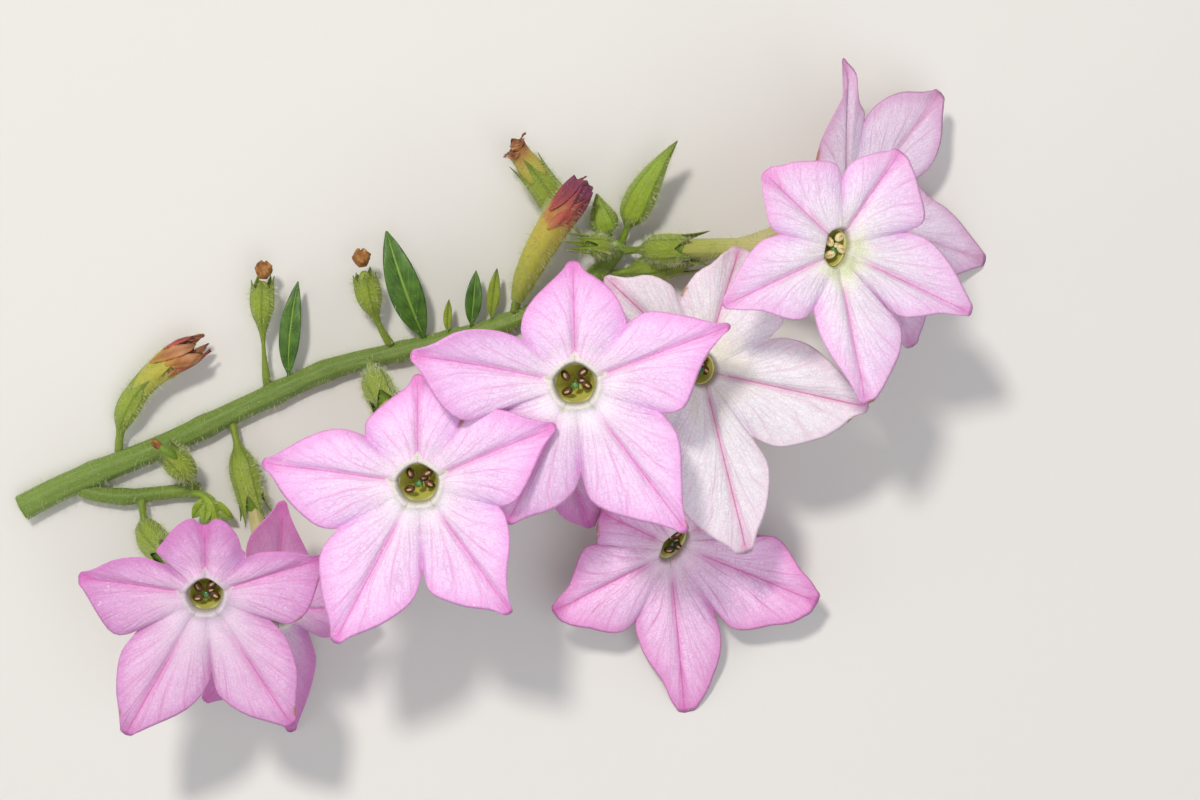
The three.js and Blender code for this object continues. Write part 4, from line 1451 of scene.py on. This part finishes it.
def tubeShape(line, start, values):
    # a faded tube with soft ribs, whose petals wind it shut like a furled umbrella
    columns = 90
    f, angle = shares(60, columns)
    radius = profile(values["outline"], blend(start / line["length"], 1, f))
    head = smooth(f, values["furl"] - 0.08, values["furl"] + 0.1)
    turn = angle * values["pleats"] / (2 * math.pi) + values["wind"] * f
    fold = np.mod(turn, 1)
    step = fold - smooth(fold, 0.84, 1)
    crease = values["pleat"] * (step - 0.4) + wander(angle + 2 * f, values["seed"], (4, 7, 11), 0.1)
    radius = radius * (1 + 0.03 * np.cos(5 * angle)) * (1 + head * crease)
    d = blend(start, line["length"] - values["hollow"], f)
    d = d + head * f**3 * wander(angle, values["seed"] + 1, (2, 3, 7), values["ragged"])
    rows = sleeve(line, np.minimum(d, line["length"] - 0.1), radius, angle)
    centre = rows[-1:].mean(axis=1, keepdims=True)
    _, t, _, _ = at(line, line["length"])
    steps = ((0.75, 0.5), (0.35, 2.0))  # the hollow in its end narrows as it goes down
    hollow = [centre + (rows[-1:] - centre) * share - t * depth for share, depth in steps]
    rows = np.concatenate([rows, *hollow])
    each = 0.07 * np.sin(2.4 * np.floor(turn)) * head
    run = np.concatenate([f + each, np.ones((2, columns))])
    # painted shade: the pleat folds and the hollow in the end are marked for darkening
    deep = np.concatenate([head * (bell(fold, 0.12) + bell(fold - 1, 0.06)), np.ones((2, columns))])
    downy = np.concatenate([0.8 * (1 - smooth(f, values["furl"], 1)), np.zeros((2, columns))])
    return shell(rows, [values["skin"]], run=run, across=deep, downy=downy)


def flapShape(line, flap, outline, material):
    # one faded petal that hugs the tube, from share "low" to "high" of the line, wound round by "twist"
    f = np.linspace(0, 1, 34)[:, None]
    x, isBack = thereAndBack(13)
    share = blend(flap["low"], flap["high"], f)
    wide = profile([(0, 0.25), (0.25, 0.85), (0.55, 1.0), (0.8, 0.75), (0.93, 0.4), (1, 0.05)], f)
    base = profile(outline, share)
    thick = 0.16 * np.sqrt(np.clip(1 - x * x, 0, 1))
    wave = wander(7 * f + 2.2 * x, flap["seed"], (1, 2, 3), 0.3) * smooth(f, 0, 0.3)
    radius = base + flap["lift"] * (0.3 + 0.7 * f) + 0.5 * flap["curl"] * x * f + wave
    radius = radius - flap["close"] * f**3 + np.where(isBack > 0, -thick, thick)
    angle = flap["angle"] + flap["twist"] * f + x * wide * flap["spread"]
    edge = wander(3 * x + 0 * f, flap["seed"] + 1, (2, 3, 5), 0.5) * smooth(f, 0.6, 1)
    d = share * line["length"] + edge + 0 * x
    rows = sleeve(line, d, radius, angle)
    # painted shade: marked darker along a fold and on the flap's underside
    fold = bell(x - 0.2, 0.3) * (1 - isBack) * 0.8 + isBack + 0 * f
    return shell(rows, [material], run=f + 0 * x, across=fold)


def crumpleShape(line, low, high, r, seed):
    # a dried, crumpled remnant of petal
    f, angle = shares(22, 48)
    radius = r * profile([(0, 0.5), (0.25, 0.8), (0.6, 1.0), (0.85, 0.75), (1, 0.35)], f)
    radius = radius * (1 + wander(angle + 1.5 * f, seed, (3, 5, 8, 13), 0.5) * smooth(f, 0, 0.4))
    d = blend(low, high, f) + wander(angle, seed + 1, (2, 5, 7), 0.9) * f
    return shell(sleeve(line, np.minimum(d, line["length"] - 0.05), radius, angle), [dryPetalSkin])


def leafShape(line, halfWidth, ripple, skin):
    # a blade with a folded midrib: its top and underside are one closed skin
    f = np.linspace(-footReach / line["length"], 1, 44)[:, None]
    x, isBack = thereAndBack(17)
    stations = [(0, 0.16), (0.12, 0.55), (0.32, 0.95), (0.5, 1.0), (0.7, 0.8), (0.88, 0.42), (1, 0.06)]
    width = halfWidth * profile(stations, f)
    ripple *= np.sin(f * 14 + np.sign(x) * 0.8) * np.abs(x) ** 3
    thick = 0.22 * np.sqrt(np.clip(1 - x * x, 0, 1)) + 0.02
    midrib = 0.3 * bell(x, 0.09) * (1 - 0.7 * f)
    height = 0.3 * np.abs(x) * width + ripple  # its halves fold up a little
    height = height + np.where(isBack > 0, -thick - midrib, thick - 0.12 * bell(x, 0.06))
    p, _, u, v = at(line, f * line["length"] + 0 * x)
    rows = p + v * (x * width)[..., None] + u * height[..., None]
    return shell(rows, [skin], run=f, across=np.abs(x), back=isBack, downy=0.12)


buds = {
    "bud_upright": {
        "near": [4.7, 32, 5.2],
        "by": [7.6, 39, 8],
        "tip": [13.8, 46.2, 11.5],
        "r": 2.75,
        "ends": True,  # the main stem ends in it
    },
    "bud_round": {"near": [2.6, 29, 4], "by": [0.4, 32.6, 5], "tip": [-0.6, 37.2, 6.6], "r": 2.5},
}
for seed, (name, piece) in enumerate(buds.items()):
    line = smallLine(piece)
    hairy.append(finishPiece(name + "_green", [budShape(line, piece["r"], seed)], name))


def sprigLeaf(line, share, tip, width):
    # a small pointed leaf that leaves a bud's stalk
    foot, _, _, _ = at(line, share * line["length"])
    middle = blend(foot, np.array(tip, float), 0.45) + np.array([0, 0, 0.5])
    blade = lineThrough(bezier([foot, middle, tip], 40), [0, 0, 1])
    return leafShape(blade, width, 0.1, budSkin)


def buildOpeningBuds():
    # buds whose long calyx teeth have begun to part
    side = {"near": [2.6, 26.8, 6], "by": [1.2, 27.8, 10], "tip": [-5, 28, 12.5]}
    line = smallLine(side)
    cup = calyxShell(line, 1.6, 0.58, 51, teeth=20.0, flare=0.1, swell=1.25)
    dome = domeShape(line, 2.5, 8.6, 1.35, budSkin)
    hairy.append(finishPiece("bud_side_green", [cup, dome], "bud_side"))
    left = {"near": [-73.8, -14.2, 2.9], "by": [-74.6, -11.6, 7.6], "tip": [-80.4, -7.2, 9.4]}
    line = smallLine({"carrier": sideStem, **left})
    long = line["length"]
    cup = calyxShell(line, 1.8, 0.62, 52, flare=0.5, swell=1.5)
    dome = domeShape(line, 3.0, long - 1.6, 1.75, budSkin)
    dried = crumpleShape(line, long - 2.8, long - 0.3, 0.7, 52)
    hairy.append(finishPiece("bud_left_green", [cup, dome, dried], "bud_left"))
    low = {"near": [-73, -16.6, 2.2], "by": [-69.4, -17.2, 4.4], "tip": [-69.6, -26, 3.6]}
    line = smallLine({"carrier": sideStem, **low})
    shapes = [budShape(line, 1.25, 53)]
    shapes.append(sprigLeaf(line, 0.18, [-73.8, -21.4, 3.6], 1.2))
    shapes.append(sprigLeaf(line, 0.24, [-71.6, -22.6, 5.2], 1.1))
    shapes.append(sprigLeaf(line, 0.24, [-66.4, -21.6, 3.4], 1.2))
    hairy.append(finishPiece("bud_low_green", shapes, "bud_low"))


buildOpeningBuds()

tallOutline = [(0, 0.75), (0.08, 1.3), (0.2, 2.0), (0.4, 2.5), (0.58, 2.8), (0.7, 2.9), (0.8, 2.7)]
tallOutline += [(0.92, 2.55), (1, 2.1)]
leftOutline = [(0, 0.75), (0.15, 0.9), (0.3, 1.6), (0.5, 2.0), (0.7, 2.3), (0.85, 2.3), (1, 1.6)]
shortOutline = [(0, 0.7), (0.45, 1.1), (0.58, 1.8), (0.72, 2.3), (0.84, 2.2), (0.93, 1.8), (1, 1.8)]


def flapsOf(angles, low, high, twist, spread, lift, close, curl, seed):
    flaps = []
    for k, angle in enumerate(angles):
        form = {"angle": math.radians(angle), "twist": twist, "spread": spread, "close": close, "curl": curl}
        form.update({"low": low + 0.04 * (k % 3), "high": high - 0.05 * (k % 2)})
        form.update({"lift": lift + 0.12 * k, "seed": seed + k})
        flaps.append(form)
    return flaps


spentBlooms = {
    "spent_bloom_tall": {
        "near": [-15.6, 17, 3.6],
        "by": [-12.4, 27, 9],
        "tip": [-2, 39.6, 12],
        "foot": 0.75,
        "calyx": {"stalk": 1.0, "cup": 0.34},
        "start": 1.5,
        "tube": {
            "furl": 0.74,
            "pleats": 5,
            "wind": 0.9,
            "pleat": 0.34,
            "ragged": 0.9,
            "hollow": 1.4,
            "seed": 31,
            "outline": tallOutline,
            "skin": furledHead,
        },
        "flaps": [
            *flapsOf([-52], 0.7, 1.0, 0.4, 0.5, 0.25, 0.9, 0.7, 65),
            *flapsOf([-14], 0.6, 0.9, 1.15, 0.45, 0.3, 0.5, -0.7, 66),
        ],
        "skins": [redFlap, salmonFlap],
    },
    "spent_bloom_short": {
        "near": [1.2, 24.8, 3.2],
        "by": [-5.6, 32, 3.6],
        "tip": [-16.2, 46.9, 8.5],
        "foot": 0.65,
        "calyx": {"stalk": 9.0, "cup": 0.95, "swell": 1.08, "flare": 0.8},
        "start": 12.0,
        "tube": {
            "furl": 0.9,
            "pleats": 5,
            "wind": 0.4,
            "pleat": 0.3,
            "ragged": 0.8,
            "hollow": 2.0,
            "seed": 32,
            "outline": shortOutline,
            "skin": fadedTube,
        },
        "flaps": flapsOf([150, -120, 60, -50, 5], 0.88, 0.97, 0.3, 0.7, 0.1, -0.5, 0.5, 71),
        "skins": [paperFlap] * 5,
    },
    "spent_bloom_left": {
        "near": [-87.3, -8.6, 3.6],
        "by": [-86.6, 3.4, 4.6],
        "tip": [-71.2, 10.6, 6.4],
        "foot": 0.75,
        "calyx": {"stalk": 3.6, "cup": 0.8},
        "start": 5.5,
        "tube": {
            "furl": 0.6,
            "pleats": 5,
            "wind": 0.9,
            "pleat": 0.3,
            "ragged": 0.8,
            "hollow": 2.6,
            "seed": 33,
            "outline": leftOutline,
            "skin": fadedTube,
        },
        "flaps": flapsOf([170, -110, 100, -60, 50, 0], 0.62, 1.0, 0.9, 0.55, 0.1, 0.2, 0.8, 81),
        "skins": [paperFlap, salmonFlap, paperFlap, paperFlap, salmonFlap, paperFlap],
    },
}
for name, piece in spentBlooms.items():
    line = smallLine(piece)
    tube = piece["tube"]
    shapes = [calyxShell(line, seed=tube["seed"], **{"flare": 0.2, **piece["calyx"]})]
    shapes.append(tubeShape(line, piece["start"], tube))
    for flap, skin in zip(piece["flaps"], piece["skins"]):
        shapes.append(flapShape(line, flap, tube["outline"], skin))
    hairy.append(finishPiece(name + "_faded", shapes, name))

capsules = {
    "seed_capsule_middle": {
        "near": [-38.4, 11.4, 3.2],
        "by": [-42, 16, 6],
        "tip": [-43, 27.3, 8.5],
        "calyx": {"stalk": 6.2, "cup": 0.68, "swell": 1.25},
        "seed": 41,
    },
    "seed_capsule_left": {
        "near": [-60.6, 3.8, 3],
        "by": [-61.6, 15, 5],
        "tip": [-60.4, 25.2, 7],
        "calyx": {"stalk": 10.5, "cup": 0.72, "swell": 1.1},
        "seed": 42,
    },
}
for name, piece in capsules.items():
    line = smallLine(piece)
    long = line["length"]
    stalk = piece["calyx"]["stalk"]
    calyx = calyxShell(line, seed=piece["seed"], teeth=13.0, flare=0.2, **piece["calyx"])
    dome = domeShape(line, stalk + 1.5, min(long - 1.6, stalk + 8.0), 1.7, capsuleSkin)
    dried = crumpleShape(line, long - 3.4, long - 0.4, 1.5, piece["seed"])
    hairy.append(finishPiece(name + "_ripe", [calyx, dome, dried], name))

leaves = {  # near, by and tip, then half the blade's width
    "bract_middle": ([-20, 15.6, 2.6], [-19.4, 19, 4.2], [-18.6, 23.8, 4.8], 1.15),
    "bract_thin": ([-28, 13.4, 2.4], [-27.6, 15.4, 4], [-27.3, 18.2, 4.6], 0.8),
    "leaf_long": ([-32.2, 12.3, 3], [-35.4, 20, 8.5], [-38.5, 30.4, 6.2], 3.0),
    "leaf_small": ([-23.6, 14.6, 2.8], [-22.8, 18, 5], [-22.4, 23.4, 4.6], 1.5),
    "leaf_left": ([-56.6, 5, 3], [-56.4, 12, 6], [-54.6, 21.4, 4.6], 1.9),
}
for name, (near, by, tip, width) in leaves.items():
    line = smallLine({"near": near, "by": by, "tip": tip, "foot": width * 0.16})
    skin = calyxSkin if name.startswith("bract") else leafSkin
    hairy.append(finishPiece(name + "_blade", [leafShape(line, width, 0.16, skin)], name))
print("small pieces built")

# Fine glandular hair on the green parts and the tubes


def hairTree():
    tree = bpy.data.node_groups.new("fine hair", "GeometryNodeTree")
    sockets = {
        "Geometry": "NodeSocketGeometry",
        "Density": "NodeSocketFloat",
        "Length": "NodeSocketFloat",
        "Thickness": "NodeSocketFloat",
        "Lean": "NodeSocketFloat",
        "Seed": "NodeSocketInt",
        "Hair": "NodeSocketMaterial",
    }
    for name, kind in sockets.items():
        tree.interface.new_socket(name, in_out="INPUT", socket_type=kind)
    tree.interface.new_socket("Geometry", in_out="OUTPUT", socket_type="NodeSocketGeometry")
    given = node(tree, "NodeGroupInput").outputs
    # as many hairs as the skin's own downy value asks for
    downy = node(tree, "GeometryNodeInputNamedAttribute", {"Name": "downy"}, data_type="FLOAT").outputs[0]
    density = node(tree, "ShaderNodeMath", {0: downy, 1: given["Density"]}, operation="MULTIPLY").outputs[0]
    scatter = {"Mesh": given["Geometry"], "Density": density, "Seed": given["Seed"]}
    scatter = node(tree, "GeometryNodeDistributePointsOnFaces", scatter)
    # one hair is a three-sided cone that thins towards its tip
    thinner = node(tree, "ShaderNodeMath", {0: given["Thickness"], 1: 0.45}, operation="MULTIPLY").outputs[0]
    cone = {"Radius Bottom": given["Thickness"], "Radius Top": thinner, "Depth": given["Length"]}
    cone = node(tree, "GeometryNodeMeshCone", {"Vertices": 3, **cone})
    # each hair leans its own way and has its own length
    against = node(tree, "ShaderNodeMath", {0: given["Lean"], 1: -1.0}, operation="MULTIPLY").outputs[0]
    low = node(tree, "ShaderNodeCombineXYZ", {0: against, 1: against}).outputs[0]
    high = node(tree, "ShaderNodeCombineXYZ", {0: given["Lean"], 1: given["Lean"]}).outputs[0]
    tilt = {0: low, 1: high, "Seed": given["Seed"]}
    tilt = node(tree, "FunctionNodeRandomValue", tilt, data_type="FLOAT_VECTOR").outputs["Value"]
    tilt = node(tree, "FunctionNodeEulerToRotation", {0: tilt}).outputs[0]
    turned = {"Rotation": scatter.outputs["Rotation"], "Rotate By": tilt}
    turned = node(tree, "FunctionNodeRotateRotation", turned, rotation_space="LOCAL").outputs[0]
    length = {2: 0.55, 3: 1.25, "Seed": given["Seed"]}
    length = node(tree, "FunctionNodeRandomValue", length, data_type="FLOAT").outputs[1]
    planted = {
        "Points": scatter.outputs["Points"],
        "Instance": cone.outputs["Mesh"],
        "Rotation": turned,
        "Scale": length,
    }
    planted = node(tree, "GeometryNodeInstanceOnPoints", planted).outputs["Instances"]
    real = node(tree, "GeometryNodeRealizeInstances", {"Geometry": planted}).outputs["Geometry"]
    done = node(tree, "GeometryNodeSetMaterial", {"Geometry": real, "Material": given["Hair"]}).outputs[0]
    node(tree, "NodeGroupOutput", {"Geometry": done})
    return tree


def growHair(source, tree, values):
    carrier = addObject("carrier", source.data.copy())
    modifier = carrier.modifiers.new("hair", "NODES")
    modifier.node_group = tree
    for item in tree.interface.items_tree:
        if item.in_out == "INPUT" and item.name in values:
            modifier[item.identifier] = values[item.name]
    shown = carrier.evaluated_get(bpy.context.evaluated_depsgraph_get())
    mesh = bpy.data.meshes.new_from_object(shown)
    bpy.data.objects.remove(carrier)
    return mesh


def buildHair(name, sources, seed):
    # The hairs are drawn about twice as thick as real ones, so that they show. Density is hairs to a square
    # metre, Lean is radians, and the others are metres.
    values = {"Density": 5.0e6, "Length": 0.0009, "Thickness": 0.00003, "Lean": 0.35, "Hair": hairSkin}
    tree = hairTree()
    points = []
    faces = []
    count = 0
    for k, source in enumerate(sources):
        mesh = growHair(source, tree, {**values, "Seed": seed + k})
        co = np.zeros(len(mesh.vertices) * 3)
        mesh.vertices.foreach_get("co", co)
        points.append(co.reshape(-1, 3))
        faces.extend([[i + count for i in polygon.vertices] for polygon in mesh.polygons])
        count += len(mesh.vertices)
        bpy.data.meshes.remove(mesh)
    points = np.vstack(points)
    points[:, 2] = np.maximum(points[:, 2], onFloor)
    made = addMesh(name, points.tolist(), faces, [hairSkin])
    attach(made, "root")
    print(name + ":", len(faces), "faces")


stems = [piece for piece in hairy if "stem" in piece.name]
buildHair("stem_hair", stems, 0)
buildHair("calyx_hair", [piece for piece in hairy if piece not in stems], 40)


def buildFloor():
    size = 1.2
    corners = [(x * size, y * size, 0) for x, y in ((-1, -1), (1, -1), (1, 1), (-1, 1))]
    material, _, _ = newMaterial("pale studio floor", Roughness=0.85, Base_Color=hexColour("#dcdad5"))
    addMesh("floor", corners, [(0, 1, 2, 3)], [material])


buildCamera()
buildLights()
buildFloor()
print("camera, lights and floor ready")
bpy.context.view_layer.update()
